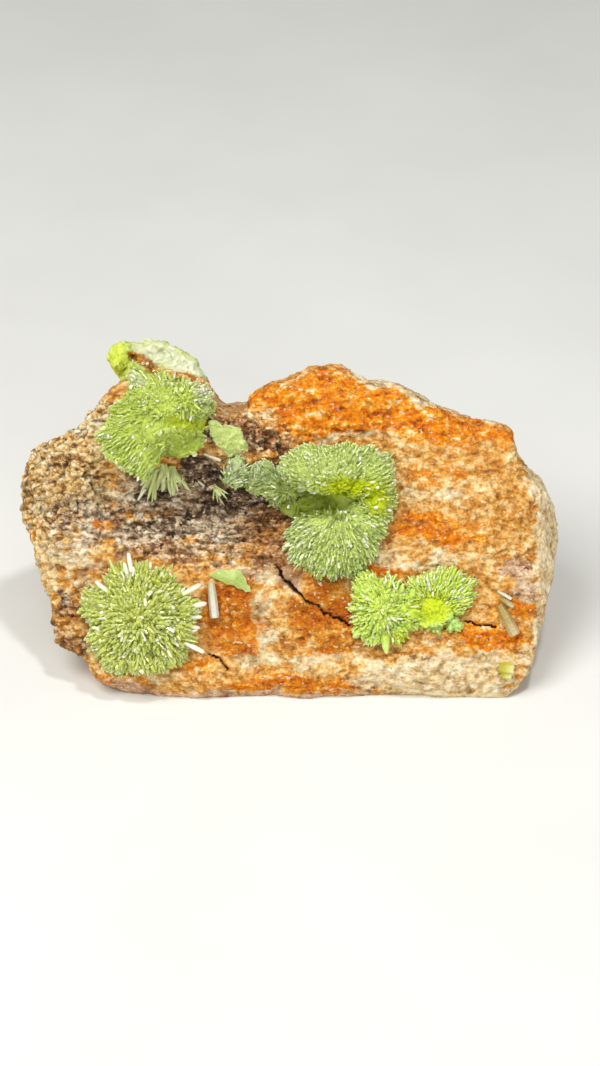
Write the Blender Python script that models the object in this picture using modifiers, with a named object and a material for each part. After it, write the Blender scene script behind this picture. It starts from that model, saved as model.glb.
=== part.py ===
"""Pyromorphite on its host stone: a rust-stained broken stone whose leaning front face carries green crystals.

Run with: blender --background --python part.py
Units are metres in Blender. Sizes below are millimetres, turned to metres by MM.
The stone rests on its flat base at Z = 0. Its crystal face leans back and looks towards -Y and up.
Places on that face are given as (u, v, w): u to the right, v up the face from its foot, w straight out of it.
"""

import math

import bmesh
import bpy
import numpy as np
from mathutils import Matrix, Vector, noise

MM = 0.001

# Driving dimensions of the stone
LEAN = math.radians(35)
FACE_FOOT = Vector((-0.10, -6.66, 0.0))
STONE_DEPTH = 21.0
CLUSTER_GAP = 0.04

# Outline of the crystal face, clockwise from its lower left corner, as (u, v)
FACE_OUTLINE = [
    (-8.7, 1.0), (-9.3, 2.2), (-10.4, 2.8), (-10.6, 3.5), (-10.9, 4.4), (-11.4, 6.0),
    (-11.9, 7.6), (-12.2, 8.4), (-12.5, 8.9), (-12.4, 10.4), (-11.8, 11.3), (-11.1, 12.1),
    (-10.4, 12.2), (-9.5, 12.8), (-9.2, 13.4), (-8.4, 14.3), (-7.7, 15.0), (-7.4, 16.1),
    (-6.7, 16.5), (-5.9, 16.4), (-5.0, 15.8), (-4.2, 15.5), (-3.6, 14.7), (-3.3, 13.8),
    (-1.9, 13.9), (-1.1, 14.6), (0.6, 15.0), (1.7, 15.6), (2.6, 15.7), (3.2, 15.2),
    (4.9, 15.0), (6.2, 14.2), (7.9, 13.5), (9.9, 13.3), (10.5, 12.8), (10.6, 11.8),
    (11.1, 10.8), (12.1, 9.7), (12.5, 8.6), (12.6, 7.0), (12.2, 5.1), (11.7, 2.6),
    (11.4, 1.5), (10.3, 0.7), (9.0, -0.6), (0.6, -0.9), (-4.0, -0.4), (-7.4, 0.7),
]

# Broken facets that shape the unseen sides and back: (point, outward normal) in the object's frame
BROKEN_FACETS = [
    ((0.0, 6.1, 6.0), (0.06, 1.00, 0.12)),
    ((-8.1, 5.2, 6.0), (-0.56, 0.82, 0.06)),
    ((8.4, 4.8, 5.0), (0.62, 0.78, 0.10)),
    ((0.0, 4.4, 11.9), (0.08, 0.55, 0.83)),
    ((8.0, 4.4, 9.4), (0.50, 0.60, 0.62)),
    ((-10.1, 4.4, 9.5), (-0.50, 0.60, 0.62)),
    ((1.0, 5.6, 1.8), (0.12, 0.84, -0.53)),
    ((-8.8, 2.4, 2.0), (-0.85, 0.25, -0.45)),
    ((10.1, 2.4, 2.0), (0.86, 0.20, -0.45)),
]
BELOW_BASE = 2.0

# Soft swellings and hollows of the crystal face: (u, v, radius u, radius v, turn in degrees, height)
FACE_SWELLS = [
    (-5.8, 13.4, 2.9, 3.2, 0, 1.5),
    (-2.4, 12.4, 2.7, 1.3, -24, 1.3),
    (-4.2, 9.3, 4.6, 1.1, -8, -1.5),
    (-4.5, 7.4, 4.4, 1.8, -5, -0.45),
    (-0.3, 8.8, 1.7, 1.3, -30, -0.7),
    (3.2, 13.2, 4.6, 1.9, -10, 0.65),
    (7.6, 9.6, 3.8, 2.6, -15, 0.45),
    (-6.4, 3.8, 2.6, 2.4, 0, 0.25),
    (1.2, 5.7, 2.4, 0.9, -38, 0.55),
    (5.2, 1.9, 5.2, 0.9, 4, 0.4),
    (-10.2, 9.4, 2.0, 2.8, 20, 0.6),
]
SWELL_SHARPNESS = 1.4

# The face rolls back towards its edges: (start, amount), linear at the foot and rising with distance elsewhere
FOOT_ROLL = (1.05, 0.85)
LEFT_ROLL = (-8.6, 0.085)
RIGHT_ROLL = (11.2, 0.9)
TOP_ROLL = (14.4, 0.30)
FACE_FADE = (-3.2, -0.2)

# Rough surface: size of the voxel skin, (frequency, height) of its lumps and chips, and the faces that are kept
REMESH_SIZE = 0.34
LUMPS = (0.34, 0.40)
CHIPS = (0.85, 0.16)
ROUGH_MEAN = 0.12
STONE_TRIANGLES = 3100

# Crystal growth: each dome is (u, v, lift above the stone, radius u, radius v, radius out, prism count)
CLUSTERS = {
    "crown_crystals": {
        "colour": (0.36, 0.56, 0.10),
        "prism_radius": 0.46,
        "reach": 1.06,
        "domes": [
            (-6.00, 12.80, 0.25, 2.35, 1.75, 1.35, 13),
            (-4.55, 12.35, 0.35, 1.25, 1.15, 1.25, 5),
            (-6.65, 11.55, 0.20, 1.20, 0.90, 1.00, 5),
            (-5.60, 14.60, 0.25, 2.00, 1.10, 1.15, 7),
            (-5.60, 15.60, 0.50, 1.55, 0.75, 0.95, 5),
            (-7.25, 15.55, 0.50, 0.95, 0.85, 0.90, 4),
        ],
    },
    "ridge_crystals": {
        "colour": (0.36, 0.58, 0.10),
        "prism_radius": 0.42,
        "reach": 1.08,
        "domes": [
            (2.35, 10.60, 0.55, 2.35, 1.00, 1.75, 15),
            (3.75, 9.65, 0.35, 1.10, 1.30, 1.40, 6),
            (1.95, 8.10, 0.20, 2.05, 2.05, 1.45, 18),
            (-0.30, 10.20, 0.20, 1.05, 0.70, 0.80, 5),
            (-1.90, 10.65, 0.15, 1.05, 0.62, 0.70, 5),
        ],
    },
    "left_spray": {
        "colour": (0.38, 0.52, 0.16),
        "prism_radius": 0.40,
        "reach": 1.12,
        "domes": [
            (-6.60, 3.95, 0.05, 2.45, 2.45, 1.75, 35),
        ],
    },
    "right_fans": {
        "colour": (0.36, 0.60, 0.09),
        "prism_radius": 0.35,
        "reach": 1.10,
        "domes": [
            (4.55, 4.40, 0.10, 1.50, 1.65, 1.25, 14),
            (7.05, 4.75, 0.10, 1.50, 1.30, 1.10, 12),
            (5.90, 3.90, 0.05, 0.90, 0.70, 0.70, 3),
        ],
    },
    "small_lobe": {
        "colour": (0.42, 0.60, 0.18),
        "prism_radius": 0.28,
        "reach": 1.02,
        "domes": [
            (-2.40, 12.10, 0.10, 0.70, 0.75, 0.60, 4),
            (-3.00, 12.65, 0.10, 0.50, 0.42, 0.45, 3),
        ],
    },
}

# Single crystals and little sprays lying on the stone:
# each prism is (start u, start v, end u, end v, radius, rise of the far end)
LOOSE_PRISMS = {
    "hanging_needles": {
        "colour": (0.50, 0.58, 0.34),
        "prisms": [
            (-5.75, 10.85, -6.45, 9.25, 0.20, 0.25),
            (-5.55, 10.85, -5.75, 9.55, 0.20, 0.55),
            (-5.35, 10.90, -5.15, 9.90, 0.17, 0.45),
        ],
    },
    "tiny_spray": {
        "colour": (0.50, 0.55, 0.36),
        "prisms": [
            (-3.25, 10.15, -2.90, 9.25, 0.13, 0.30),
            (-3.28, 10.15, -3.30, 9.45, 0.12, 0.40),
            (-3.22, 10.15, -2.60, 9.65, 0.12, 0.40),
        ],
    },
    "leaf_crystal": {
        "colour": (0.50, 0.60, 0.34),
        "prisms": [
            (-3.40, 6.15, -1.75, 5.45, 0.25, 0.15),
            (-3.10, 6.10, -1.95, 5.85, 0.20, 0.10),
        ],
    },
    "loose_needle": {
        "colour": (0.72, 0.76, 0.62),
        "prisms": [(-3.44, 5.68, -3.28, 4.05, 0.23, 0.12)],
    },
    "grey_prism": {
        "colour": (0.55, 0.52, 0.36),
        "prisms": [(9.65, 4.75, 10.65, 3.20, 0.28, 0.10)],
    },
    "corner_crystal": {
        "colour": (0.60, 0.66, 0.20),
        "prisms": [(9.75, 1.75, 10.50, 1.66, 0.36, 0.05)],
    },
}

# How a prism and a dome are shaped
PRISM_SIDES = 6
PRISM_TAPER = 0.84
PRISM_ROOT = 0.55
PRISM_TURN = 0.7
LIE_SHARE = 0.6
CORE_SHARE = 0.78
DOME_SPREAD = 1.14
REACH_CYCLE = (0.97, 1.03, 0.93, 1.06, 1.0)
GOLDEN_ANGLE = math.pi * (3 - math.sqrt(5))


def clear_scene():
    """Remove every object, so the script can be run again."""
    for obj in list(bpy.data.objects):
        bpy.data.objects.remove(obj)


def face_matrix():
    """Turns (u, v, w) in millimetres into the object's frame in metres."""
    out = Vector((0.0, -math.cos(LEAN), math.sin(LEAN)))
    up = Vector((0.0, math.sin(LEAN), math.cos(LEAN)))
    turn = Matrix((Vector((1.0, 0.0, 0.0)), up, out)).transposed().to_4x4()
    return Matrix.Scale(MM, 4) @ Matrix.Translation(FACE_FOOT) @ turn


FACE = face_matrix()


def material(name, colour, roughness):
    """A plain finish with the part's own colour."""
    made = bpy.data.materials.new(name)
    made.use_nodes = True
    shader = made.node_tree.nodes["Principled BSDF"]
    shader.inputs["Base Color"].default_value = (*colour, 1.0)
    shader.inputs["Roughness"].default_value = roughness
    shader.inputs["Metallic"].default_value = 0.0
    return made


def new_object(name, mesh, collection, finish=None):
    """An object at the origin, with its place in its mesh."""
    obj = bpy.data.objects.new(name, mesh)
    collection.objects.link(obj)
    if finish:
        mesh.materials.clear()
        mesh.materials.append(finish)
    return obj


def evaluated_mesh(obj):
    """The object's mesh with its modifiers and placing applied."""
    bpy.context.view_layer.update()
    graph = bpy.context.evaluated_depsgraph_get()
    mesh = bpy.data.meshes.new_from_object(obj.evaluated_get(graph))
    mesh.transform(obj.matrix_world)
    return mesh


def as_cutter(obj):
    """Keep a helper out of the render."""
    obj.hide_render = True
    obj.display_type = "WIRE"


def past(value, start):
    """How far a value lies past a start, or nothing before it."""
    return np.clip(value - start, 0, None)


def face_height(u, v):
    """Height of the stone's crystal face over its mean plane, in millimetres."""
    height = np.zeros_like(u)
    for cu, cv, ru, rv, turn, rise in FACE_SWELLS:
        c, s = math.cos(math.radians(turn)), math.sin(math.radians(turn))
        along = ((u - cu) * c + (v - cv) * s) / ru
        across = (-(u - cu) * s + (v - cv) * c) / rv
        height = height + rise * np.exp(-SWELL_SHARPNESS * (along**2 + across**2))
    height = height - FOOT_ROLL[1] * past(-v, -FOOT_ROLL[0])
    height = height - LEFT_ROLL[1] * past(-u, -LEFT_ROLL[0]) ** 2
    height = height - RIGHT_ROLL[1] * past(u, RIGHT_ROLL[0]) ** 2
    return height - TOP_ROLL[1] * past(v, TOP_ROLL[0]) ** 2


def surface_w(u, v):
    """The face's height at one place."""
    return float(face_height(np.array([u]), np.array([v]))[0])


def smooth_step(low, high, x):
    """Nothing below low, one above high, and an even rise between."""
    t = np.clip((x - low) / (high - low), 0, 1)
    return t * t * (3 - 2 * t)


def outline_slab(collection):
    """The face's outline as a filled curve, extruded back into the stone."""
    curve = bpy.data.curves.new("face_outline", "CURVE")
    curve.dimensions = "2D"
    curve.fill_mode = "BOTH"
    curve.extrude = STONE_DEPTH / 2
    spline = curve.splines.new("POLY")
    spline.points.add(len(FACE_OUTLINE) - 1)
    for point, (u, v) in zip(spline.points, FACE_OUTLINE):
        point.co = (u, v, 0.0, 1.0)
    spline.use_cyclic_u = True
    obj = new_object("face_outline", curve, collection)
    obj.matrix_world = FACE @ Matrix.Translation((0, 0, -STONE_DEPTH / 2))
    mesh = evaluated_mesh(obj)
    bpy.data.objects.remove(obj)
    return mesh


def cut_flat(bm, point, normal):
    """Cut away what lies beyond a plane and close the cut."""
    geometry = bm.verts[:] + bm.edges[:] + bm.faces[:]
    cut = bmesh.ops.bisect_plane(
        bm,
        geom=geometry,
        dist=1e-7,
        plane_co=Vector(point) * MM,
        plane_no=Vector(normal).normalized(),
        clear_outer=True,
    )
    rim = [e for e in cut["geom_cut"] if isinstance(e, bmesh.types.BMEdge)]
    bmesh.ops.contextual_create(bm, geom=rim)


def roughen(mesh):
    """Raise the face's swells, and roughen the whole stone with two sizes of broken lump."""
    count = len(mesh.vertices)
    points = np.empty(count * 3)
    mesh.vertices.foreach_get("co", points)
    points = points.reshape(-1, 3)
    normals = np.empty(count * 3)
    mesh.vertices.foreach_get("normal", normals)
    normals = normals.reshape(-1, 3)
    back = np.array(FACE.inverted())
    local = points @ back[:3, :3].T + back[:3, 3]
    lumps = [noise.fractal(Vector(p) * LUMPS[0], 0.9, 2.1, 3) for p in local]
    chips = [noise.ridged_multi_fractal(Vector(p) * CHIPS[0], 0.9, 2.2, 2, 0.9, 1.6) for p in local]
    rough = np.array(lumps) * LUMPS[1] + np.array(chips) * CHIPS[1] - ROUGH_MEAN
    lift = face_height(local[:, 0], local[:, 1]) * smooth_step(*FACE_FADE, local[:, 2])
    out = np.array(FACE.to_3x3().normalized().col[2])
    moved = points + (normals * rough[:, None] + out * lift[:, None]) * MM
    mesh.vertices.foreach_set("co", moved.ravel())
    mesh.update()


def build_stone(collection, helpers, finish):
    """The host stone: outline, broken facets, rough surface and a flat base."""
    mesh = outline_slab(helpers)
    bm = bmesh.new()
    bm.from_mesh(mesh)
    bmesh.ops.remove_doubles(bm, verts=bm.verts, dist=1e-7)
    for point, normal in BROKEN_FACETS:
        cut_flat(bm, point, normal)
    cut_flat(bm, (0, 0, -BELOW_BASE), (0, 0, -1))
    bm.to_mesh(mesh)
    bm.free()
    rough = new_object("rough_stone", mesh, helpers)
    remesh = rough.modifiers.new("even_skin", "REMESH")
    remesh.mode = "VOXEL"
    remesh.voxel_size = REMESH_SIZE * MM
    mesh = evaluated_mesh(rough)
    bpy.data.objects.remove(rough)
    roughen(mesh)
    stone = new_object("thick_stone", mesh, helpers)
    thin = stone.modifiers.new("fewer_faces", "DECIMATE")
    thin.ratio = STONE_TRIANGLES / (2 * len(mesh.polygons))
    mesh = evaluated_mesh(stone)
    bpy.data.objects.remove(stone)
    bm = bmesh.new()
    bm.from_mesh(mesh)
    cut_flat(bm, (0, 0, 0), (0, 0, -1))
    bmesh.ops.triangulate(bm, faces=bm.faces)
    bm.to_mesh(mesh)
    bm.free()
    return new_object("matrix_stone", mesh, collection, finish)


def stone_cutter(stone, helpers):
    """The stone swollen by the gap, to cut the crystals' undersides to its surface."""
    mesh = stone.data.copy()
    normals = [vertex.normal.copy() for vertex in mesh.vertices]
    for vertex, normal in zip(mesh.vertices, normals):
        vertex.co += normal * CLUSTER_GAP * MM
    cutter = new_object("stone_cutter", mesh, helpers)
    as_cutter(cutter)
    return cutter


def add_prism(bm, start, end, radius, turn=0.0):
    """A six-sided crystal with flat ends from start to end, in the bmesh's own units."""
    axis = end - start
    place = Matrix.Translation((start + end) / 2)
    place = place @ axis.to_track_quat("Z", "Y").to_matrix().to_4x4()
    place = place @ Matrix.Rotation(turn, 4, "Z")
    bmesh.ops.create_cone(
        bm,
        cap_ends=True,
        segments=PRISM_SIDES,
        radius1=radius,
        radius2=radius * PRISM_TAPER,
        depth=axis.length,
        matrix=place,
    )


def dome_directions(count):
    """Evenly spread directions over a little more than a half sphere that opens out of the face."""
    for i in range(count):
        out = 1.0 - DOME_SPREAD * (i + 0.5) / count
        ring = math.sqrt(max(0.0, 1 - out * out))
        angle = i * GOLDEN_ANGLE
        yield Vector((ring * math.cos(angle), ring * math.sin(angle), out))


def mesh_from(bm, name):
    """A mesh in the object's frame, from a bmesh in (u, v, w)."""
    bmesh.ops.recalc_face_normals(bm, faces=bm.faces)
    mesh = bpy.data.meshes.new(name)
    bm.to_mesh(mesh)
    bm.free()
    mesh.transform(FACE)
    return mesh


def dome_core(centre, radii, name):
    """The solid heart of a crystal dome, which its prisms grow out of."""
    bm = bmesh.new()
    bmesh.ops.create_icosphere(bm, subdivisions=2, radius=CORE_SHARE)
    bmesh.ops.scale(bm, vec=radii, verts=bm.verts)
    bmesh.ops.translate(bm, vec=centre, verts=bm.verts)
    return mesh_from(bm, name)


def cluster_meshes(spec):
    """The dome cores and the prisms that radiate from them, each as a closed mesh."""
    meshes = []
    for d, (u, v, lift, ru, rv, rw, count) in enumerate(spec["domes"]):
        centre = Vector((u, v, surface_w(u, v) + lift))
        radii = Vector((ru, rv, rw))
        meshes.append(dome_core(centre, radii, f"core_{d}"))
        for i, direction in enumerate(dome_directions(count)):
            spoke = direction * radii
            reach = spec["reach"] * REACH_CYCLE[(i + d) % len(REACH_CYCLE)]
            bm = bmesh.new()
            add_prism(bm, centre + spoke * PRISM_ROOT, centre + spoke * reach, spec["prism_radius"], i * PRISM_TURN)
            meshes.append(mesh_from(bm, f"prism_{d}_{i}"))
    return meshes


def loose_meshes(spec):
    """Prisms that lie on the stone, from their end points on the face."""
    meshes = []
    for u0, v0, u1, v1, radius, rise in spec["prisms"]:
        start = Vector((u0, v0, surface_w(u0, v0) + radius * LIE_SHARE))
        end = Vector((u1, v1, surface_w(u1, v1) + radius * LIE_SHARE + rise))
        bm = bmesh.new()
        add_prism(bm, start, end, radius)
        meshes.append(mesh_from(bm, "loose_prism"))
    return meshes


def union_of(meshes, name, helpers):
    """One closed mesh from several that overlap."""
    base = new_object(name, meshes[0], helpers)
    tools = bpy.data.collections.new(name + "_tools")
    bpy.context.scene.collection.children.link(tools)
    for i, mesh in enumerate(meshes[1:]):
        as_cutter(new_object(f"{name}_tool_{i}", mesh, tools))
    join = base.modifiers.new("join", "BOOLEAN")
    join.operation = "UNION"
    join.operand_type = "COLLECTION"
    join.collection = tools
    joined = evaluated_mesh(base)
    bpy.data.objects.remove(base)
    for obj in list(tools.objects):
        bpy.data.objects.remove(obj)
    bpy.data.collections.remove(tools)
    return joined


def connected_bodies(bm):
    """Lists of the vertices that hang together, the biggest list last."""
    seen, bodies = set(), []
    for start in bm.verts:
        if start in seen:
            continue
        body, edge = [], [start]
        seen.add(start)
        while edge:
            vertex = edge.pop()
            body.append(vertex)
            fresh = {link.other_vert(vertex) for link in vertex.link_edges} - seen
            seen |= fresh
            edge.extend(sorted(fresh, key=lambda v: v.index))
        bodies.append(body)
    return sorted(bodies, key=len)


def largest_body(mesh):
    """Keep the biggest connected body, and drop crumbs that a cut leaves."""
    bm = bmesh.new()
    bm.from_mesh(mesh)
    for body in connected_bodies(bm)[:-1]:
        bmesh.ops.delete(bm, geom=body, context="VERTS")
    bm.to_mesh(mesh)
    bm.free()
    return mesh


def seat_on_stone(name, mesh, cutter, collection, finish):
    """Cut a crystal's underside to the stone's surface, and place it as a node."""
    raw = new_object(name + "_raw", mesh, collection)
    cut = raw.modifiers.new("seat", "BOOLEAN")
    cut.operation = "DIFFERENCE"
    cut.object = cutter
    seated = largest_body(evaluated_mesh(raw))
    bpy.data.objects.remove(raw)
    return new_object(name, seated, collection, finish)


def main():
    clear_scene()
    scene = bpy.context.scene
    parts = bpy.data.collections.new("pyromorphite")
    helpers = bpy.data.collections.new("helpers")
    scene.collection.children.link(parts)
    scene.collection.children.link(helpers)
    stone = build_stone(parts, helpers, material("rusty_stone", (0.42, 0.20, 0.06), 0.85))
    cutter = stone_cutter(stone, helpers)
    for name, spec in CLUSTERS.items():
        joined = union_of(cluster_meshes(spec), name, helpers)
        seat_on_stone(name, joined, cutter, parts, material(name, spec["colour"], 0.25))
    for name, spec in LOOSE_PRISMS.items():
        joined = union_of(loose_meshes(spec), name, helpers)
        seat_on_stone(name, joined, cutter, parts, material(name, spec["colour"], 0.2))


main()
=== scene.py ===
# %% [markdown]
# # Pyromorphite on its host stone
# The real object is a broken piece of rust-stained stone, 25 mm wide, with green lead crystals grown on its
# front. The solids of the model are loaded first. They are plain and faceted, and they fix every place and
# size. Each one is then replaced by a finished piece that fills the same space.

import math

import bmesh
import bpy
import numpy as np
from mathutils import Matrix, Vector, noise
from mathutils.bvhtree import BVHTree


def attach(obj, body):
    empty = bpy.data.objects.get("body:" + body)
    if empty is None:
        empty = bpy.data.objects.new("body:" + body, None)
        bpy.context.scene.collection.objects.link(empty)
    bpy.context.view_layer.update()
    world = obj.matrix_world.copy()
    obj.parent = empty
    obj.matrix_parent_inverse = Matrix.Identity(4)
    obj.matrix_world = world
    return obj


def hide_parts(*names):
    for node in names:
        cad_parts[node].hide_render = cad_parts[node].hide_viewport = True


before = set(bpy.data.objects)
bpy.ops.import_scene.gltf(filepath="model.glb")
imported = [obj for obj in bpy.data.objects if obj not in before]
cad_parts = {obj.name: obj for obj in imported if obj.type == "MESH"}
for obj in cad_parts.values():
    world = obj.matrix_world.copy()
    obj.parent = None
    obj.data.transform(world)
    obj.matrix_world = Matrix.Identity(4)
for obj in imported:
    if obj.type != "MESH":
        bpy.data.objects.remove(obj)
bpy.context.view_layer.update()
print("nodes:", ", ".join(sorted(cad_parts)))

# %% [markdown]
# ## A ruler on the crystal face
# The crystals grow on a face that leans back by 35 degrees. Places on it are easier to think of as
# millimetres to the right (u), up the face (v) and straight out of it (w). One matrix turns those into the
# frame's metres, so every piece is modelled flat on the face and tipped into place at the end.

# %% The face's own coordinates
MM = 0.001
LEAN = math.radians(35)
FACE_FOOT = Vector((-0.10, -6.66, 0.0))
OUT = Vector((0.0, -math.cos(LEAN), math.sin(LEAN)))
UP = Vector((0.0, math.sin(LEAN), math.cos(LEAN)))
RIGHT = Vector((1.0, 0.0, 0.0))


def face_matrix():
    """Turns (u, v, w) in millimetres into the frame's metres."""
    turn = Matrix((RIGHT, UP, OUT)).transposed().to_4x4()
    return Matrix.Scale(MM, 4) @ Matrix.Translation(FACE_FOOT) @ turn


FACE = face_matrix()
OFF_FACE = FACE.inverted()
print("face foot at", [round(x, 5) for x in FACE.translation])

# %% [markdown]
# ## The camera
# The photograph looks straight at the leaning face, so the camera looks down by the same 35 degrees. A long
# lens far away keeps the outline almost free of perspective, as a close-up through a phone's tele lens is.

# %% Camera
CAMERA_AIM = Vector((0.64, 7.96, 0.0))
CAMERA_DISTANCE = 130.0
VIEW_HEIGHT = 49.0
SENSOR = 36.0
CLIP = (0.01, 10.0)


def add_camera():
    """A camera square to the crystal face, framed as the photograph is."""
    data = bpy.data.cameras.new("camera")
    data.sensor_width = SENSOR
    data.lens = SENSOR * CAMERA_DISTANCE / VIEW_HEIGHT
    data.clip_start, data.clip_end = CLIP
    camera = bpy.data.objects.new("camera", data)
    camera.location = FACE @ (CAMERA_AIM + Vector((0.0, 0.0, CAMERA_DISTANCE)))
    camera.rotation_euler = (-OUT).to_track_quat("-Z", "Y").to_euler()
    bpy.context.scene.collection.objects.link(camera)
    bpy.context.scene.camera = camera
    return camera


camera = add_camera()
print("lens", round(camera.data.lens, 1), "mm")

# %% [markdown]
# ## Small tools
# A few helpers keep the rest short. One puts a mesh into the scene, and one turns an object with live
# modifiers into a plain mesh, because every piece has to be a plain mesh at the end. The others read the
# points of a mesh as one array, keep a number on each point, and give smooth random numbers for the places
# of the points.

# %% Helpers for meshes


def new_object(name, mesh):
    obj = bpy.data.objects.new(name, mesh)
    bpy.context.scene.collection.objects.link(obj)
    return obj


def settled_mesh(obj):
    """The object's mesh with its modifiers applied, and the object removed."""
    bpy.context.view_layer.update()
    graph = bpy.context.evaluated_depsgraph_get()
    mesh = bpy.data.meshes.new_from_object(obj.evaluated_get(graph))
    bpy.data.objects.remove(obj)
    return mesh


def points_of(mesh):
    """The mesh's vertices as rows of (u, v, w)."""
    flat = np.empty(len(mesh.vertices) * 3)
    mesh.vertices.foreach_get("co", flat)
    return flat.reshape(-1, 3)


def put_attribute(mesh, name, values):
    """Keep one number, or one vector, for each vertex."""
    kind, field = ("FLOAT", "value") if np.ndim(values) == 1 else ("FLOAT_VECTOR", "vector")
    layer = mesh.attributes.get(name) or mesh.attributes.new(name, kind, "POINT")
    layer.data.foreach_set(field, np.asarray(values, dtype=np.float32).ravel())


def noise_at(points, frequency, depth=3, offset=0.0):
    """Soft random numbers from about -1 to 1, one for each point, that change smoothly over the mesh."""
    shift = Vector((offset, offset * 0.7, offset * 1.3))
    return np.array([noise.fractal(Vector(p) * frequency + shift, 0.8, 2.1, depth) for p in points])


print("helpers for meshes ready")
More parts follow.
